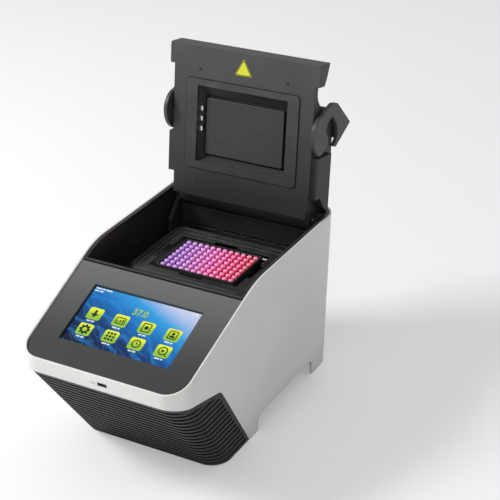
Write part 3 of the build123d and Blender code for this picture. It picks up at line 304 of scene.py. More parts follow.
def panel_charcoal():
    """Front panel paint: warm charcoal with a fine metallic fleck, and painted light that makes it paler
    towards its top edge.
    """
    paint = Paint("panel_charcoal")
    z = paint.parts()[2]
    # Painted light: the charcoal grows paler with height towards the panel's top edge.
    rise = (z - 0.165).step(0.0, 0.062)
    fleck = paint.noise(3200, 1, 0.8)
    cloud = paint.noise(14, 3)
    base = paint.mix(rise, (0.026, 0.028, 0.027), (0.13, 0.138, 0.134))
    base = paint.mix(fleck.step(0.55, 0.75) * 0.18, base, grey(0.2))
    return paint.shade(
        Base_Color=base,
        Roughness=cloud * 0.12 + fleck * 0.12 + 0.36,
        Specular_IOR_Level=0.3,
        Normal=paint.bump(fleck, 0.12, 0.0001),
    )


def up_panel(y, z):
    """How far up the front panel a point lies, from its top edge."""
    return (y - PANEL_AT.y) * V_DIR.y + (z - PANEL_AT.z) * V_DIR.z


def screen_picture():
    """Lit display: a generic blue field with soft waves and fine rays, under glass."""
    paint = Paint("screen_picture")
    x, y, z = paint.parts()
    across = (x + SCREEN_W / 2) / SCREEN_W
    up = (up_panel(y, z) - SCREEN_V + SCREEN_H / 2) / SCREEN_H
    cloud = paint.noise(28, 3, 0.5)
    slant = across * 0.45 + up * 0.62 + cloud * 0.16 - 0.08
    field = paint.ramp(
        slant,
        [
            (0.08, (0.003, 0.006, 0.03)),
            (0.36, (0.004, 0.03, 0.13)),
            (0.58, (0.005, 0.13, 0.42)),
            (0.76, (0.03, 0.3, 0.66)),
            (0.97, (0.5, 0.56, 0.74)),
        ],
    )
    moved = paint.node("ShaderNodeMapping", None, {"Vector": paint.place(), "Location": (0.11, 0.31, -0.1)})
    rings = paint.node("ShaderNodeTexWave", {"wave_type": "RINGS", "rings_direction": "SPHERICAL"}, {
        "Vector": moved.outputs[0], "Scale": 16.0, "Distortion": 5.0, "Detail": 2.0, "Detail Scale": 2.2})
    lines = paint.node("ShaderNodeTexWave", {"wave_type": "BANDS", "bands_direction": "DIAGONAL"}, {
        "Vector": paint.place(), "Scale": 42.0, "Distortion": 9.0, "Detail": 3.0, "Detail Scale": 1.2})
    wave = Level(paint, rings.outputs[1])
    rays = Level(paint, lines.outputs[1])
    glow = wave.step(0.72, 1.0) * 0.5 + rays.step(0.86, 1.0) * 0.35
    field = paint.mix(glow * (1 - slant.step(0.55, 0.95)) * 0.7, field, (0.02, 0.25, 0.62))
    return paint.shade(
        Base_Color=paint.mix(0.85, field, (0.002, 0.003, 0.006)),
        Emission_Color=field,
        Emission_Strength=0.95,
        Roughness=0.3,
        Specular_IOR_Level=0.18,
    )


def display_shade(paint, color, strength):
    """The shader of a lit mark: mostly its own light over a dark ground."""
    return paint.shade(
        Base_Color=paint.mix(0.7, color, grey(0.01)),
        Emission_Color=color,
        Emission_Strength=strength,
        Roughness=0.4,
        Specular_IOR_Level=0.2,
    )


def lit(name, color, strength):
    """A lit mark on the display, with a faint grain of pixels."""
    paint = Paint(name)
    dots = paint.noise(2400, 1, 0.5)
    base = paint.mix(dots.step(0.3, 0.7), shift(color, 0.86), color)
    return display_shade(paint, base, strength)


def icon_lime():
    """Icon tiles: lime at the top, greener at the foot."""
    paint = Paint("icon_lime")
    x, y, z = paint.parts()
    share = ((up_panel(y, z) + 0.2) / ICON_PITCH_V + 0.06).math("FRACT")
    dots = paint.noise(2400, 1, 0.5)
    color = paint.mix(share.step(0.15, 0.7), (0.25, 0.5, 0.02), (0.78, 0.86, 0.03))
    color = paint.mix(dots.step(0.3, 0.7) * 0.1, color, (0.5, 0.7, 0.02))
    return display_shade(paint, color, 0.72)


def tube_plastic():
    """Tubes: lilac at the left turning to pink and crimson at the right, with a painted highlight on the cap
    domes, painted shade on the bodies below the caps and a faint painted glow.
    """
    paint = Paint("tube_plastic")
    x, y, z = paint.parts()
    share = (x + TUBE_FIELD_W / 2) / TUBE_FIELD_W
    row = (y - BLOCK_Y) / TUBE_FIELD_D
    cloud = paint.noise(400, 2)
    tint = paint.ramp(
        share + row * 0.08 + cloud * 0.05 - 0.02,
        [
            (0.0, (0.26, 0.12, 0.6)),
            (0.25, (0.5, 0.18, 0.62)),
            (0.5, (0.82, 0.14, 0.5)),
            (0.75, (0.88, 0.04, 0.22)),
            (1.0, (0.78, 0.012, 0.06)),
        ],
    )
    # Painted highlight: the tops of the cap domes are paler.
    top = z.step(0.1835, 0.1868)
    color = paint.mix(top * 0.42, tint, (0.98, 0.6, 0.82))
    # Painted shade: the bodies below the caps are darker.
    color = paint.mix((1 - z.step(0.1795, 0.1835)) * 0.7, color, paint.mix(0.5, tint, (0.02, 0.01, 0.06)))
    return paint.shade(
        Base_Color=color,
        Roughness=cloud * 0.1 + 0.22,
        Subsurface_Weight=0.12,
        Subsurface_Radius=(0.004, 0.002, 0.003),
        # Painted glow: the plastic gives off a little light in its own colour.
        Emission_Color=color,
        Emission_Strength=0.22,
        Coat_Weight=0.3,
        Coat_Roughness=0.1,
    )


def heated_finish():
    """Heated plate: dark anodised face with fine lines across it and faint rubbing."""
    paint = Paint("plate_dark")
    lines = paint.noise(1000, 3, 0.6, (0.02, 1, 1))
    cloud = paint.noise(26, 4)
    base = paint.mix(lines.step(0.3, 0.7), grey(0.036), grey(0.046))
    base = paint.mix(cloud.step(0.55, 0.8) * 0.3, base, grey(0.06))
    return paint.shade(
        Base_Color=base,
        Metallic=0.2,
        Roughness=lines * 0.1 + cloud * 0.12 + 0.34,
        Specular_IOR_Level=0.35,
        Normal=paint.bump(lines, 0.06, 0.0001, 0.0006),
    )


def circuit():
    """Circuit board: green mask with paler tracks and tinned pads."""
    paint = Paint("circuit_board")
    cells = paint.cells(260)
    tracks = paint.noise(150, 2, 0.5, (1, 0.2, 1))
    base = paint.mix(tracks.step(0.48, 0.52), (0.008, 0.09, 0.03), (0.014, 0.16, 0.05))
    base = paint.mix(1 - cells.step(0.08, 0.11), base, (0.6, 0.6, 0.56))
    return paint.shade(Base_Color=base, Roughness=tracks * 0.1 + 0.3)


def felt():
    """Insulating felt: pale tangled fibre."""
    paint = Paint("insulation")
    fibre = paint.noise(1800, 5, 0.8, (1, 0.3, 1))
    base = paint.mix(fibre.step(0.3, 0.7), (0.38, 0.36, 0.3), (0.56, 0.53, 0.45))
    return paint.shade(Base_Color=base, Roughness=0.95, Normal=paint.bump(fibre, 0.6, 0.0005))


MATERIALS = {}


def dress(finish_name, *nodes):
    """Gives CAD nodes one finish."""
    for name in nodes:
        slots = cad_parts[name].data.materials
        slots.clear()
        slots.append(MATERIALS[finish_name])


def piece(name, mesh, finish_name, body, stands_for=()):
    """A new piece from a mesh that is already in place."""
    thing = bpy.data.objects.new(name, mesh)
    bpy.context.scene.collection.objects.link(thing)
    if not mesh.materials:
        mesh.materials.append(MATERIALS[finish_name])
    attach(thing, body)
    if stands_for:
        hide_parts(*stands_for)
    return thing


def mesh_from(shape, name, smooth=False):
    """A mesh from a bmesh, with its faces turned outwards."""
    bmesh.ops.remove_doubles(shape, verts=shape.verts, dist=1e-7)
    bmesh.ops.recalc_face_normals(shape, faces=shape.faces)
    mesh = bpy.data.meshes.new(name)
    shape.to_mesh(mesh)
    shape.free()
    for face in mesh.polygons:
        face.use_smooth = smooth
    return mesh


def turned(shape, profile, steps):
    """Turns (radius, height) points about the local Z axis and closes both ends."""
    rings = []
    for radius, height in profile:
        ring = [
            shape.verts.new((radius * cos(2 * pi * i / steps), radius * sin(2 * pi * i / steps), height))
            for i in range(steps)
        ]
        rings.append(ring)
    for low, high in zip(rings, rings[1:]):
        for i in range(steps):
            j = (i + 1) % steps
            shape.faces.new((low[i], low[j], high[j], high[i]))
    shape.faces.new(rings[0][::-1])
    shape.faces.new(rings[-1])


def plate_of(shape, outline, at, low, high):
    """A thin plate on an outline in a plane's (x, y), between two heights over the plane."""
    bottom = [shape.verts.new(at(x, y, low)) for x, y in outline]
    top = [shape.verts.new(at(x, y, high)) for x, y in outline]
    shape.faces.new(bottom[::-1])
    shape.faces.new(top)
    for i in range(len(outline)):
        j = (i + 1) % len(outline)
        shape.faces.new((bottom[i], bottom[j], top[j], top[i]))


def frame_of(shape, outer, inner, at, low, high):
    """A thin frame between two outlines of equal point count."""
    rows = [[shape.verts.new(at(x, y, h)) for x, y in line] for h in (low, high) for line in (outer, inner)]
    low_out, low_in, high_out, high_in = rows
    for i in range(len(outer)):
        j = (i + 1) % len(outer)
        shape.faces.new((high_out[i], high_out[j], high_in[j], high_in[i]))
        shape.faces.new((low_out[j], low_out[i], low_in[i], low_in[j]))
        shape.faces.new((low_out[i], low_out[j], high_out[j], high_out[i]))
        shape.faces.new((low_in[j], low_in[i], high_in[i], high_in[j]))


def rounded(width, depth, radius, x=0.0, y=0.0, steps=6):
    """Points of a rounded rectangle about a centre."""
    points = []
    for sx, sy, start in ((1, 1, 0), (-1, 1, 90), (-1, -1, 180), (1, -1, 270)):
        for i in range(steps + 1):
            angle = radians(start + 90 * i / steps)
            points.append((
                x + sx * (width / 2 - radius) + radius * cos(angle),
                y + sy * (depth / 2 - radius) + radius * sin(angle),
            ))
    return points


def circle(radius, x=0.0, y=0.0, steps=24):
    """Points of a circle."""
    angles = [2 * pi * i / steps for i in range(steps)]
    return [(x + radius * cos(angle), y + radius * sin(angle)) for angle in angles]


def bar(width, tall, corner, x, y, steps):
    """Points of a rounded bar with its left end at x, so that a row of them runs on."""
    return rounded(width, tall, corner, x + width / 2, y, steps)


def flat_place(x, y, h):
    """The local plane of a unit that a tree copies."""
    return Vector((x, y, h))


def plain_mesh(holder):
    """The evaluated mesh of a maker object."""
    return bpy.data.meshes.new_from_object(holder.evaluated_get(bpy.context.evaluated_depsgraph_get()))


class Tree:
    """A Geometry Nodes tree built by calls, for shapes that repeat."""

    def __init__(self, name):
        self.group = bpy.data.node_groups.new(name, "GeometryNodeTree")
        self.group.interface.new_socket(name="Geometry", in_out="INPUT", socket_type="NodeSocketGeometry")
        self.group.interface.new_socket(name="Geometry", in_out="OUTPUT", socket_type="NodeSocketGeometry")
        self.start = self.group.nodes.new("NodeGroupInput")
        self.end = self.group.nodes.new("NodeGroupOutput")
        self.sizes = {}

    def input(self, name, kind, value):
        """A named input with its default; gives back the socket to link from."""
        socket = self.group.interface.new_socket(name=name, in_out="INPUT", socket_type="NodeSocket" + kind)
        socket.default_value = value
        self.sizes[socket.identifier] = value
        return self.start.outputs[name]

    def node(self, kind, settings=None, sockets=None):
        node = self.group.nodes.new(kind)
        for key, value in (settings or {}).items():
            setattr(node, key, value)
        for key, value in (sockets or {}).items():
            if isinstance(value, bpy.types.NodeSocket):
                self.group.links.new(value, node.inputs[key])
            else:
                node.inputs[key].default_value = value
        return node

    def close(self, geometry, material):
        """Ends the tree with plain geometry in one material."""
        real = self.node("GeometryNodeRealizeInstances", None, {0: geometry})
        done = self.node("GeometryNodeSetMaterial", None, {0: real.outputs[0], "Material": material})
        self.group.links.new(done.outputs[0], self.end.inputs[0])

    def mesh(self, name, unit):
        """Runs the tree on a unit mesh and gives back the plain result."""
        holder = bpy.data.objects.new(name + "_maker", unit)
        bpy.context.scene.collection.objects.link(holder)
        modifier = holder.modifiers.new("maker", "NODES")
        modifier.node_group = self.group
        for key, value in self.sizes.items():
            modifier[key] = value
        bpy.context.view_layer.update()
        result = plain_mesh(holder)
        holder.modifiers.remove(modifier)
        bpy.data.objects.remove(holder)
        result.name = name
        return result


def grid_tree(name, material, columns, rows, pitch_x, pitch_y, turn, at):
    """Copies of the unit mesh on a grid, turned about X and moved into place."""
    tree = Tree(name)
    across = tree.input("Columns", "Int", columns)
    along = tree.input("Rows", "Int", rows)
    step_x = tree.input("Pitch across", "Float", pitch_x)
    step_y = tree.input("Pitch along", "Float", pitch_y)
    sizes = []
    for count, step in ((across, step_x), (along, step_y)):
        less = tree.node("ShaderNodeMath", {"operation": "SUBTRACT"}, {0: count, 1: 1.0})
        sizes.append(tree.node("ShaderNodeMath", {"operation": "MULTIPLY"}, {0: less.outputs[0], 1: step}))
    grid = tree.node("GeometryNodeMeshGrid", None, {
        "Size X": sizes[0].outputs[0], "Size Y": sizes[1].outputs[0],
        "Vertices X": across, "Vertices Y": along})
    copies = tree.node("GeometryNodeInstanceOnPoints", None, {
        "Points": grid.outputs[0], "Instance": tree.start.outputs[0]})
    placed = tree.node("GeometryNodeTransform", None, {
        0: copies.outputs[0], "Translation": at, "Rotation": (turn, 0, 0)})
    tree.close(placed.outputs[0], material)
    return tree


# Painted shade on the lid and its seal: the band of heights, and how far it darkens below them.
LID_PAINTED_SHADE = (0.23, 0.44, 0.75)
SEAL_PAINTED_SHADE = (0.23, 0.44, 0.7)
ICON_PITCH_X = 0.0365
ICON_PITCH_V = 0.0246
ICON_ROW = -0.0823
ICON_SHIFT = 0.0012
GLASS_W = -0.003
GLYPH_GROWTH = 1.3
LABEL_TALL = 0.0017
LABEL_ROUND = 0.0005


class CyclerBlockSettings(bpy.types.PropertyGroup):
    columns: IntProperty(name="Columns", description="Tubes across the block", default=12, min=1)
    rows: IntProperty(name="Rows", description="Tubes from front to back", default=8, min=1)
    pitch: FloatProperty(
        name="Pitch", description="Distance between tube centres", default=0.009, unit="LENGTH"
    )
    cap_radius: FloatProperty(
        name="Cap radius", description="Radius of a tube's cap", default=0.0033, unit="LENGTH"
    )
    cap_top: FloatProperty(
        name="Cap top", description="Height of the caps over the bench", default=0.187, unit="LENGTH"
    )


class CyclerLidSettings(bpy.types.PropertyGroup):
    color: FloatVectorProperty(
        name="Lid colour", description="Moulded lid and cover",
        default=(0.056, 0.058, 0.056), size=3, subtype="COLOR",
    )
    screw_radius: FloatProperty(
        name="Screw radius", description="Lid screw heads", default=0.002, unit="LENGTH"
    )
    screw_reach: FloatProperty(
        name="Screw reach", description="Screws from the lid's middle", default=0.063, unit="LENGTH"
    )


class CyclerScreenSettings(bpy.types.PropertyGroup):
    tile_width: FloatProperty(
        name="Tile width", description="Width of an icon tile", default=0.0196, unit="LENGTH"
    )
    tile_height: FloatProperty(
        name="Tile height", description="Height of an icon tile", default=0.0172, unit="LENGTH"
    )
    tile_round: FloatProperty(
        name="Tile corner", description="Corner radius of a tile", default=0.0028, unit="LENGTH"
    )


class CyclerStageSettings(bpy.types.PropertyGroup):
    key_power: FloatProperty(name="Key light", description="Main lamp's power", default=52.0, unit="POWER")
    fill_power: FloatProperty(
        name="Fill light", description="Front lamp's power", default=9.0, unit="POWER"
    )
    sky: FloatProperty(name="Sky", description="World light on the object", default=0.52)


def ready():
    """The finishes, made once for all operators."""
    if MATERIALS:
        return
    lid_color = tuple(bpy.context.scene.cycler_lid.color)
    made = {
        "case_white": case_white(),
        "panel_charcoal": panel_charcoal(),
        "screen_picture": screen_picture(),
        "icon_lime": icon_lime(),
        "icon_dark": lit("icon_dark", (0.02, 0.035, 0.02), 0.1),
        "screen_white": lit("screen_white", (0.85, 0.88, 0.95), 0.7),
        "screen_lime": lit("screen_lime", (0.45, 0.62, 0.03), 0.6),
        "tube_plastic": tube_plastic(),
        "plate_dark": heated_finish(),
        "circuit_board": circuit(),
        "insulation": felt(),
        "lid_black": moulded("lid_black", lid_color, 0.5, 2400, 0.35, 0.1, 0.0, 0.0012, LID_PAINTED_SHADE),
        "housing_black": moulded("housing_black", grey(0.018), 0.42, 2000, 0.2, 0.12, 0.0, 0.001),
        "lever_grey": moulded("lever_grey", (0.05, 0.051, 0.05), 0.42, 2600, 0.25, 0.1, 0.0, 0.0012),
        "deck_black": moulded("deck_black", (0.019, 0.021, 0.019), 0.36, 2600, 0.3, 0.1, 0.08, 0.0012),
        "grille_black": moulded("grille_black", (0.02, 0.022, 0.02), 0.5, 2200, 0.3, 0.1, 0.1, 0.0005),
        "fan_plastic": moulded("fan_plastic", grey(0.02), 0.45),
        "socket_black": moulded("socket_black", grey(0.015), 0.3, 1800, 0.12, 0.2),
        "block_frame": moulded("block_frame", grey(0.035), 0.4, edge=0.0005),
        "display": moulded("display", grey(0.03), 0.4),
        "rear_metal": metal("rear_metal", grey(0.1), 0.5, 1500, share=0.2, relief=0.3),
        "block_aluminium": metal("block_aluminium", (0.12, 0.12, 0.15), 0.42, 1200, (0.1, 1, 1)),
        "sink_aluminium": metal("sink_aluminium", (0.5, 0.5, 0.51), 0.4, 1200, (1, 0.05, 1)),
        "supply_metal": metal("supply_metal", (0.5, 0.5, 0.5), 0.42, 700, (1, 0.1, 1)),
        "shaft_steel": metal("shaft_steel", (0.42, 0.42, 0.43), 0.34, 1600, (0.1, 1, 1)),
        "terminal_metal": metal("terminal_metal", (0.78, 0.78, 0.76), 0.28, 2000),
        "socket_metal": metal("socket_metal", (0.36, 0.36, 0.37), 0.36, 1500),
        "screw_black": metal("screw_black", grey(0.03), 0.36, 2500, share=0.6),
        "foot_rubber": rubbery("foot_rubber", grey(0.02)),
        "seal_rubber": rubbery("seal_rubber", grey(0.035)),
        "lid_seal": rubbery("lid_seal", (0.058, 0.056, 0.053), 0.5, SEAL_PAINTED_SHADE),
        "module_ceramic": moulded("module_ceramic", (0.7, 0.7, 0.68), 0.5, 1500, 0.1, 0.05),
        "warning_yellow": moulded("warning_yellow", (0.62, 0.66, 0.03), 0.38, 1800, 0.1, 0.08),
        "mark_black": moulded("mark_black", grey(0.012), 0.42, 1800, 0.1, 0.1),
    }
    MATERIALS.update(made)


class CYCLER_OT_case(bpy.types.Operator):
    """White case, base pan, feet and front grille"""
    bl_idname = "cycler.case"
    bl_label = "Case"

    def execute(self, context):
        ready()
        dress("case_white", "outer_shell")
        dress("grille_black", "front_grille")
        dress("rear_metal", "base_pan", "rear_plate")
        dress("foot_rubber", "rubber_feet")
        return {"FINISHED"}


class CYCLER_OT_panel(bpy.types.Operator):
    """Charcoal front panel, the USB socket and the small port mark beside it"""
    bl_idname = "cycler.panel"
    bl_label = "Front panel"

    def execute(self, context):
        ready()
        dress("panel_charcoal", "front_panel")
        dress("socket_metal", "usb_socket")
        low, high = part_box("usb_socket")
        middle = Vector(((low.x + high.x) / 2 - 0.0125, FRONT_Y - 0.00002, (low.z + high.z) / 2))

        def at(x, y, h):
            return middle + Vector((x, 0.00012 - h, y))

        shape = bmesh.new()
        stem = [(-0.0024, -0.00022), (0.0018, -0.00022), (0.0018, 0.00022), (-0.0024, 0.00022)]
        tip = [(0.0018, -0.0007), (0.0031, 0.0), (0.0018, 0.0007)]
        foot = circle(0.0007, -0.0026, 0, 16)
        dot = circle(0.00045, 0.0006, 0.0013, 12)
        block = rounded(0.0008, 0.0008, 0.0001, -0.0002, -0.0013, 2)
        for outline in (stem, tip, foot, dot, block):
            plate_of(shape, outline, at, 0, 0.0001)
        piece("port_mark", mesh_from(shape, "port_mark"), "mark_black", "base")
        return {"FINISHED"}


def glyph_shapes(shape, kind, x0, v0, low, high):
    """One plain dark sign on an icon tile: kind picks which."""
    def at(x, v, h):
        return panel_place(x0 + x * GLYPH_GROWTH, v0 + v * GLYPH_GROWTH, h)

    def fill(outline):
        plate_of(shape, outline, at, low, high)

    def rim(outer, inner):
        frame_of(shape, outer, inner, at, low, high)

    if kind == 0:
        fill([(-0.004, 0), (0.004, 0), (0, -0.0042)])
        fill(rounded(0.0026, 0.0044, 0.0003, 0, 0.002))
    elif kind == 1:
        rim(rounded(0.0104, 0.0078, 0.0012), rounded(0.0084, 0.0058, 0.0006))
        for i in range(3):
            fill(rounded(0.0014, 0.0014 + 0.0012 * i, 0.0002, -0.0026 + 0.0026 * i, -0.0012 + 0.0006 * i))
    elif kind == 2:
        rim(rounded(0.0088, 0.0102, 0.0012), rounded(0.0068, 0.0082, 0.0008))
        fill(circle(0.0021, 0, 0, 20))
    elif kind == 3:
        rim(rounded(0.0092, 0.0098, 0.0012), rounded(0.0072, 0.0078, 0.0008))
        fill(circle(0.0016, 0, 0.0014, 18))
        fill([(-0.0028, -0.003), (0.0028, -0.003), (0.0018, -0.0006), (-0.0018, -0.0006)])
    elif kind == 4:
        rim(circle(0.0044), circle(0.0024))
        for i in range(8):
            angle = pi / 4 * i
            fill(circle(0.0011, 0.0047 * cos(angle), 0.0047 * sin(angle), 10))
    elif kind == 5:
        for column in range(3):
            for row in range(3):
                fill(rounded(0.0024, 0.0024, 0.0004, -0.0034 + 0.0034 * column, -0.0034 + 0.0034 * row, 3))
    elif kind == 6:
        rim(circle(0.0046, 0, 0, 32), circle(0.0034, 0, 0, 32))
        fill(rounded(0.0009, 0.003, 0.0003, 0, 0.0012))
        fill(rounded(0.0026, 0.0009, 0.0003, 0.0009, 0))
    else:
        rim(circle(0.0047, 0, 0.0004, 32), circle(0.0036, 0, 0.0004, 32))
        fill([(-0.0014, -0.0014), (-0.0014, 0.0022), (0.0020, 0.0004)])
        fill([(0.0028, -0.0030), (0.0052, -0.0052), (0.0058, -0.0045), (0.0035, -0.0024)])


class CYCLER_OT_screen(bpy.types.Operator):
    """Lit touch screen: picture, icon tiles, signs, plain label bars and a reading"""
    bl_idname = "cycler.screen"
    bl_label = "Screen"

    def execute(self, context):
        ready()
        size = context.scene.cycler_screen
        dress("screen_picture", "screen_glass")
        dress("display", "display_module")
        dress("circuit_board", "display_board")
        # A black border at the glass edge: the display's dark edge, and painted shade standing in for the
        # shadow of the window's walls.
        rim = bmesh.new()
        outer = rounded(SCREEN_W - 0.0001, SCREEN_H - 0.0001, 0.0002, 0, SCREEN_V, 2)
        inner = rounded(SCREEN_W - 0.0028, SCREEN_H - 0.0028, 0.0005, 0, SCREEN_V, 2)
        frame_of(rim, outer, inner, panel_place, GLASS_W + 0.00002, GLASS_W + 0.0005)
        piece("display_rim", mesh_from(rim, "display_rim"), "mark_black", "base")
        unit = bmesh.new()
        tile = rounded(size.tile_width, size.tile_height, size.tile_round, 0, 0, 5)
        plate_of(unit, tile, flat_place, 0, 0.00008)
        tree = grid_tree(
            "icon_tiles", MATERIALS["icon_lime"], 4, 2, ICON_PITCH_X, ICON_PITCH_V, TILT,
            panel_place(ICON_SHIFT, ICON_ROW, GLASS_W + 0.00003),
        )
        tiles = tree.mesh("icon_tiles", mesh_from(unit, "icon_unit"))
        piece("icon_tiles", tiles, "icon_lime", "base")

        signs = bmesh.new()
        labels = bmesh.new()

        def label_row(left, v, widths, gap):
            for width in widths:
                outline = bar(width, LABEL_TALL, LABEL_ROUND, left, v, 3)
                plate_of(labels, outline, panel_place, GLASS_W + 0.00003, GLASS_W + 0.0001)
                left += width + gap

        for row in range(2):
            for column in range(4):
                x = ICON_SHIFT + (column - 1.5) * ICON_PITCH_X
                v = ICON_ROW + (0.5 - row) * ICON_PITCH_V
                glyph_shapes(signs, row * 4 + column, x, v, GLASS_W + 0.00015, GLASS_W + 0.00022)
                widths = ((0.0052, 0.0048), (0.0066, 0.0034), (0.0044, 0.0050), (0.0070, 0.0030))[column]
                reach = sum(widths) + 0.001
                label_row(x - reach / 2, v - 0.0112, widths, 0.001)
        label_row(-0.0738, -0.0334, (0.008, 0.004, 0.009), 0.0012)
        label_row(-0.0738, -0.0372, (0.006, 0.005), 0.0012)
        piece("screen_signs", mesh_from(signs, "screen_signs"), "icon_dark", "base")
        piece("screen_labels", mesh_from(labels, "screen_labels"), "screen_white", "base")

        for name, text, x, v, height, paint in (
            ("screen_clock", "12:30", 0.0665, -0.0358, 0.0042, "screen_white"),
            ("screen_reading", "37.0", 0.001, -0.0565, 0.0125, "screen_lime"),
        ):
            curve = bpy.data.curves.new(name, "FONT")
            curve.body = text
            curve.size = height
            curve.align_x = "CENTER"
            curve.extrude = 0.00003
            curve.offset = height * 0.02
            holder = bpy.data.objects.new(name + "_maker", curve)
            bpy.context.scene.collection.objects.link(holder)
            bpy.context.view_layer.update()
            mesh = plain_mesh(holder)
            bpy.data.objects.remove(holder)
            mesh.materials.clear()
            move = Matrix((
                (1, V_DIR.x, W_DIR.x, 0), (0, V_DIR.y, W_DIR.y, 0), (0, V_DIR.z, W_DIR.z, 0), (0, 0, 0, 1)))
            move.translation = panel_place(x, v, GLASS_W + 0.0001)
            mesh.transform(move)
            piece(name, mesh, paint, "base")
        return {"FINISHED"}


class CYCLER_OT_deck(bpy.types.Operator):
    """Cavity tray, block, its frame and seal"""
    bl_idname = "cycler.deck"
    bl_label = "Deck and block"

    def execute(self, context):
        ready()
        dress("deck_black", "deck_cover", "hinge_cheeks")
        dress("block_frame", "block_frame")
        dress("block_aluminium", "sample_block")
        dress("seal_rubber", "block_seal")
        return {"FINISHED"}


class CYCLER_OT_tubes(bpy.types.Operator):
    """Tubes with domed caps on the block's grid"""
    bl_idname = "cycler.tubes"
    bl_label = "Tubes"

    def execute(self, context):
        ready()
        size = context.scene.cycler_block
        cap = size.cap_radius
        unit = bmesh.new()
        turned(unit, [
            (0.0009, -0.0149), (0.0014, -0.0146), (0.0024, -0.0095), (cap * 0.88, -0.0046),
            (cap * 0.9, -0.0041),
            (cap * 0.9, -0.0034), (cap, -0.0032), (cap, -0.0022), (cap * 0.94, -0.0014), (cap * 0.8, -0.0007),
            (cap * 0.55, -0.0002), (cap * 0.2, 0.0),
        ], 18)
        for side in (-1, 1):
            web = rounded(0.0022, size.pitch / 2 - 0.0022, 0.0003, 0, side * (size.pitch / 4 + 0.001), 2)
            plate_of(unit, web, flat_place, -0.0040, -0.0032)
        tree = grid_tree(
            "tube_rows", MATERIALS["tube_plastic"], size.columns, size.rows, size.pitch, size.pitch, 0.0,
            Vector((0, BLOCK_Y, size.cap_top)),
        )
        tubes = tree.mesh("tubes", mesh_from(unit, "tube_unit", True))
        piece("tubes", tubes, "tube_plastic", "base", ("tube_strips",))
        return {"FINISHED"}


class CYCLER_OT_lid(bpy.types.Operator):
    """Lid cover and plate, its seal, the warning triangle and the lid screws"""
    bl_idname = "cycler.lid"
    bl_label = "Lid"

    def execute(self, context):
        ready()
        size = context.scene.cycler_lid
        dress("lid_black", "lid_cover", "lid_plate")
        dress("lid_seal", "lid_seal")
        dress("insulation", "lid_insulation")
        dress("shaft_steel", "pivot_pins")

        side, tall, low = 0.025, 0.022, 0.1128
        middle = low + tall / 3

        def triangle(share):
            points = [(-side / 2, low), (side / 2, low), (0, low + tall)]
            points = [(x * share, middle + (u - middle) * share) for x, u in points]
            out = []
            for i, (x, u) in enumerate(points):
                for other in (points[i - 1], points[(i + 1) % 3]):
                    out.append((x + (other[0] - x) * 0.07, u + (other[1] - u) * 0.07))
            return out

        sticker = bmesh.new()
        plate_of(sticker, triangle(1.0), lid_place, 0.0, 0.0003)
        face = mesh_from(sticker, "triangle_face")
        piece("triangle_face", face, "warning_yellow", "lid", ("warning_triangle",))
        border = bmesh.new()
        frame_of(border, triangle(0.94), triangle(0.82), lid_place, 0.0003, 0.00038)
        piece("triangle_border", mesh_from(border, "triangle_border"), "mark_black", "lid")

        head = size.screw_radius
        unit = bmesh.new()
        turned(unit, [
            (head * 0.94, -0.0005), (head, 0.0), (head, 0.0001), (head * 0.9, 0.0003), (head * 0.62, 0.0004),
            (head * 0.5, 0.0004), (head * 0.46, 0.0003), (head * 0.46, -0.0003),
        ], 24)
        tree = grid_tree(
            "lid_screw_heads", MATERIALS["screw_black"], 2, 2, size.screw_reach * 2, 0.1485, pi / 2 - LEAN,
            lid_place(0, 0.03775, 0),
        )
        heads = tree.mesh("lid_screw_heads", mesh_from(unit, "screw_unit"))
        piece("lid_screw_heads", heads, "screw_black", "lid", ("lid_screws",))
        return {"FINISHED"}


class CYCLER_OT_heater(bpy.types.Operator):
    """Heater housing with its pocket, the heated plate, its mat, pins and terminals"""
    bl_idname = "cycler.heater"
    bl_label = "Heater"

    def execute(self, context):
        ready()
        dress("housing_black", "heater_housing")
        dress("plate_dark", "heated_plate")
        dress("seal_rubber", "heater_mat")
        dress("shaft_steel", "guide_pins")
        dress("terminal_metal", "heater_terminals")
        return {"FINISHED"}


class CYCLER_OT_levers(bpy.types.Operator):
    """Hooked levers with their handle bar, and the hinge with its catches"""
    bl_idname = "cycler.levers"
    bl_label = "Levers and hinge"

    def execute(self, context):
        ready()
        dress("lever_grey", "lever_left", "lever_right", "handle_bar")
        dress("shaft_steel", "hinge_shaft", "hinge_washers", "ball_catches")
        return {"FINISHED"}


class CYCLER_OT_rear(bpy.types.Operator):
    """Rear sockets, switch and fuse drawer"""
    bl_idname = "cycler.rear"
    bl_label = "Rear"

    def execute(self, context):
        ready()
        dress("socket_black", "power_inlet", "fuse_holder", "fuse_drawer", "switch_housing", "power_rocker")
        dress("socket_metal", "data_socket")
        return {"FINISHED"}


class CYCLER_OT_works(bpy.types.Operator):
    """Inner works: sink, modules, fans, brackets, supply and main board"""
    bl_idname = "cycler.works"
    bl_label = "Works"

    def execute(self, context):
        ready()
        dress("sink_aluminium", "heat_sink")
        dress("module_ceramic", "peltier_modules")
        dress("fan_plastic", "fan_frames", "fan_rotor_left", "fan_rotor_right")
        dress("rear_metal", "sink_brackets")
        dress("supply_metal", "power_supply")
        dress("circuit_board", "main_board")
        return {"FINISHED"}


def lamp(name, place, aim, power, width, tall):
    """A soft rectangular lamp that looks at a point."""
    light = bpy.data.lights.new(name, "AREA")
    light.shape = "RECTANGLE"
    light.size = width
    light.size_y = tall
    light.energy = power
    holder = bpy.data.objects.new(name, light)
    holder.location = place
    holder.rotation_euler = (Vector(aim) - Vector(place)).to_track_quat("-Z", "Y").to_euler()
    bpy.context.scene.collection.objects.link(holder)


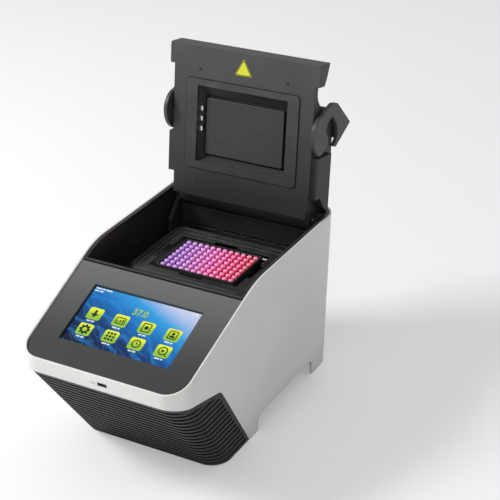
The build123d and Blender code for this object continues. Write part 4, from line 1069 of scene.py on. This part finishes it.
class CYCLER_OT_stage(bpy.types.Operator):
    """Pale floor, soft studio light and the photograph's camera"""
    bl_idname = "cycler.stage"
    bl_label = "Stage"

    def execute(self, context):
        size = context.scene.cycler_stage
        scene = context.scene
        shape = bmesh.new()
        reach = 9.0
        corners = ((-reach, -reach), (reach, -reach), (reach, reach), (-reach, reach))
        shape.faces.new([shape.verts.new((x, y, 0)) for x, y in corners])
        mesh = bpy.data.meshes.new("floor")
        shape.to_mesh(mesh)
        shape.free()
        floor = bpy.data.objects.new("floor", mesh)
        scene.collection.objects.link(floor)
        paint = Paint("floor_pale")
        cloud = paint.noise(3, 2)
        diffuse = paint.node("ShaderNodeBsdfDiffuse", None, [paint.mix(cloud, grey(0.9), grey(0.92))])
        glow = paint.node("ShaderNodeEmission", None, {"Color": (1, 1, 1), "Strength": 1.0})
        ray = paint.node("ShaderNodeLightPath")
        seen = Level(paint, ray.outputs["Is Camera Ray"]) * 0.3
        blend = paint.node("ShaderNodeMixShader", None, {0: seen, 1: diffuse.outputs[0], 2: glow.outputs[0]})
        paint.tree.links.new(blend.outputs[0], paint.out.inputs[0])
        mesh.materials.append(paint.material)

        world = bpy.data.worlds.new("studio")
        scene.world = world
        world.use_nodes = True
        tree = world.node_tree
        tree.nodes.clear()
        out = tree.nodes.new("ShaderNodeOutputWorld")
        path = tree.nodes.new("ShaderNodeLightPath")
        soft = tree.nodes.new("ShaderNodeBackground")
        soft.inputs[0].default_value = (1, 1, 1, 1)
        soft.inputs[1].default_value = size.sky
        white = tree.nodes.new("ShaderNodeBackground")
        white.inputs[0].default_value = (1, 1, 1, 1)
        white.inputs[1].default_value = 1.0
        either = tree.nodes.new("ShaderNodeMixShader")
        tree.links.new(path.outputs["Is Camera Ray"], either.inputs[0])
        tree.links.new(soft.outputs[0], either.inputs[1])
        tree.links.new(white.outputs[0], either.inputs[2])
        tree.links.new(either.outputs[0], out.inputs[0])

        lamp("key", (-1.7, -0.9, 1.9), (0, 0, 0.15), size.key_power, 0.7, 0.7)
        lamp("front", (0.5, -2.6, 1.2), (0, -0.1, 0.15), size.fill_power, 1.6, 1.2)

        turn, rise, roll = VIEW_TURN, VIEW_RISE, VIEW_ROLL
        right = Vector((cos(turn), sin(turn), 0))
        back = Vector((sin(turn) * cos(rise), -cos(turn) * cos(rise), sin(rise)))
        up = back.cross(right)
        across = right * cos(roll) + up * sin(roll)
        upright = up * cos(roll) - right * sin(roll)
        data = bpy.data.cameras.new("photo")
        data.lens = VIEW_LENS
        data.sensor_width = 36.0
        data.clip_end = 50.0
        camera = bpy.data.objects.new("photo", data)
        at = VIEW_TARGET + back * VIEW_REACH
        camera.matrix_world = Matrix((
            (across.x, upright.x, back.x, at.x),
            (across.y, upright.y, back.y, at.y),
            (across.z, upright.z, back.z, at.z),
            (0, 0, 0, 1),
        ))
        scene.collection.objects.link(camera)
        scene.camera = camera
        scene.view_settings.view_transform = "Standard"
        return {"FINISHED"}


OPERATORS = (
    CYCLER_OT_case,
    CYCLER_OT_panel,
    CYCLER_OT_screen,
    CYCLER_OT_deck,
    CYCLER_OT_tubes,
    CYCLER_OT_lid,
    CYCLER_OT_heater,
    CYCLER_OT_levers,
    CYCLER_OT_rear,
    CYCLER_OT_works,
    CYCLER_OT_stage,
)


class CYCLER_PT_looks(bpy.types.Panel):
    """Sizes and steps of the cycler's looks"""
    bl_idname = "CYCLER_PT_looks"
    bl_label = "Thermal cycler"
    bl_space_type = "VIEW_3D"
    bl_region_type = "UI"
    bl_category = "Cycler"

    def draw(self, context):
        for name in GROUPS:
            group = getattr(context.scene, name)
            box = self.layout.box()
            for key in group.__annotations__:
                box.prop(group, key)
        for operator in OPERATORS:
            self.layout.operator(operator.bl_idname)


GROUPS = {
    "cycler_block": CyclerBlockSettings,
    "cycler_lid": CyclerLidSettings,
    "cycler_screen": CyclerScreenSettings,
    "cycler_stage": CyclerStageSettings,
}


def register():
    for group in GROUPS.values():
        bpy.utils.register_class(group)
    for name, group in GROUPS.items():
        setattr(bpy.types.Scene, name, PointerProperty(type=group))
    for operator in OPERATORS:
        bpy.utils.register_class(operator)
    bpy.utils.register_class(CYCLER_PT_looks)


def unregister():
    bpy.utils.unregister_class(CYCLER_PT_looks)
    for operator in reversed(OPERATORS):
        bpy.utils.unregister_class(operator)
    for name, group in GROUPS.items():
        delattr(bpy.types.Scene, name)
        bpy.utils.unregister_class(group)


def main():
    register()
    bpy.ops.cycler.case()
    bpy.ops.cycler.panel()
    bpy.ops.cycler.screen()
    bpy.ops.cycler.deck()
    bpy.ops.cycler.tubes()
    bpy.ops.cycler.lid()
    bpy.ops.cycler.heater()
    bpy.ops.cycler.levers()
    bpy.ops.cycler.rear()
    bpy.ops.cycler.works()
    bpy.ops.cycler.stage()


if __name__ == "__main__":
    main()
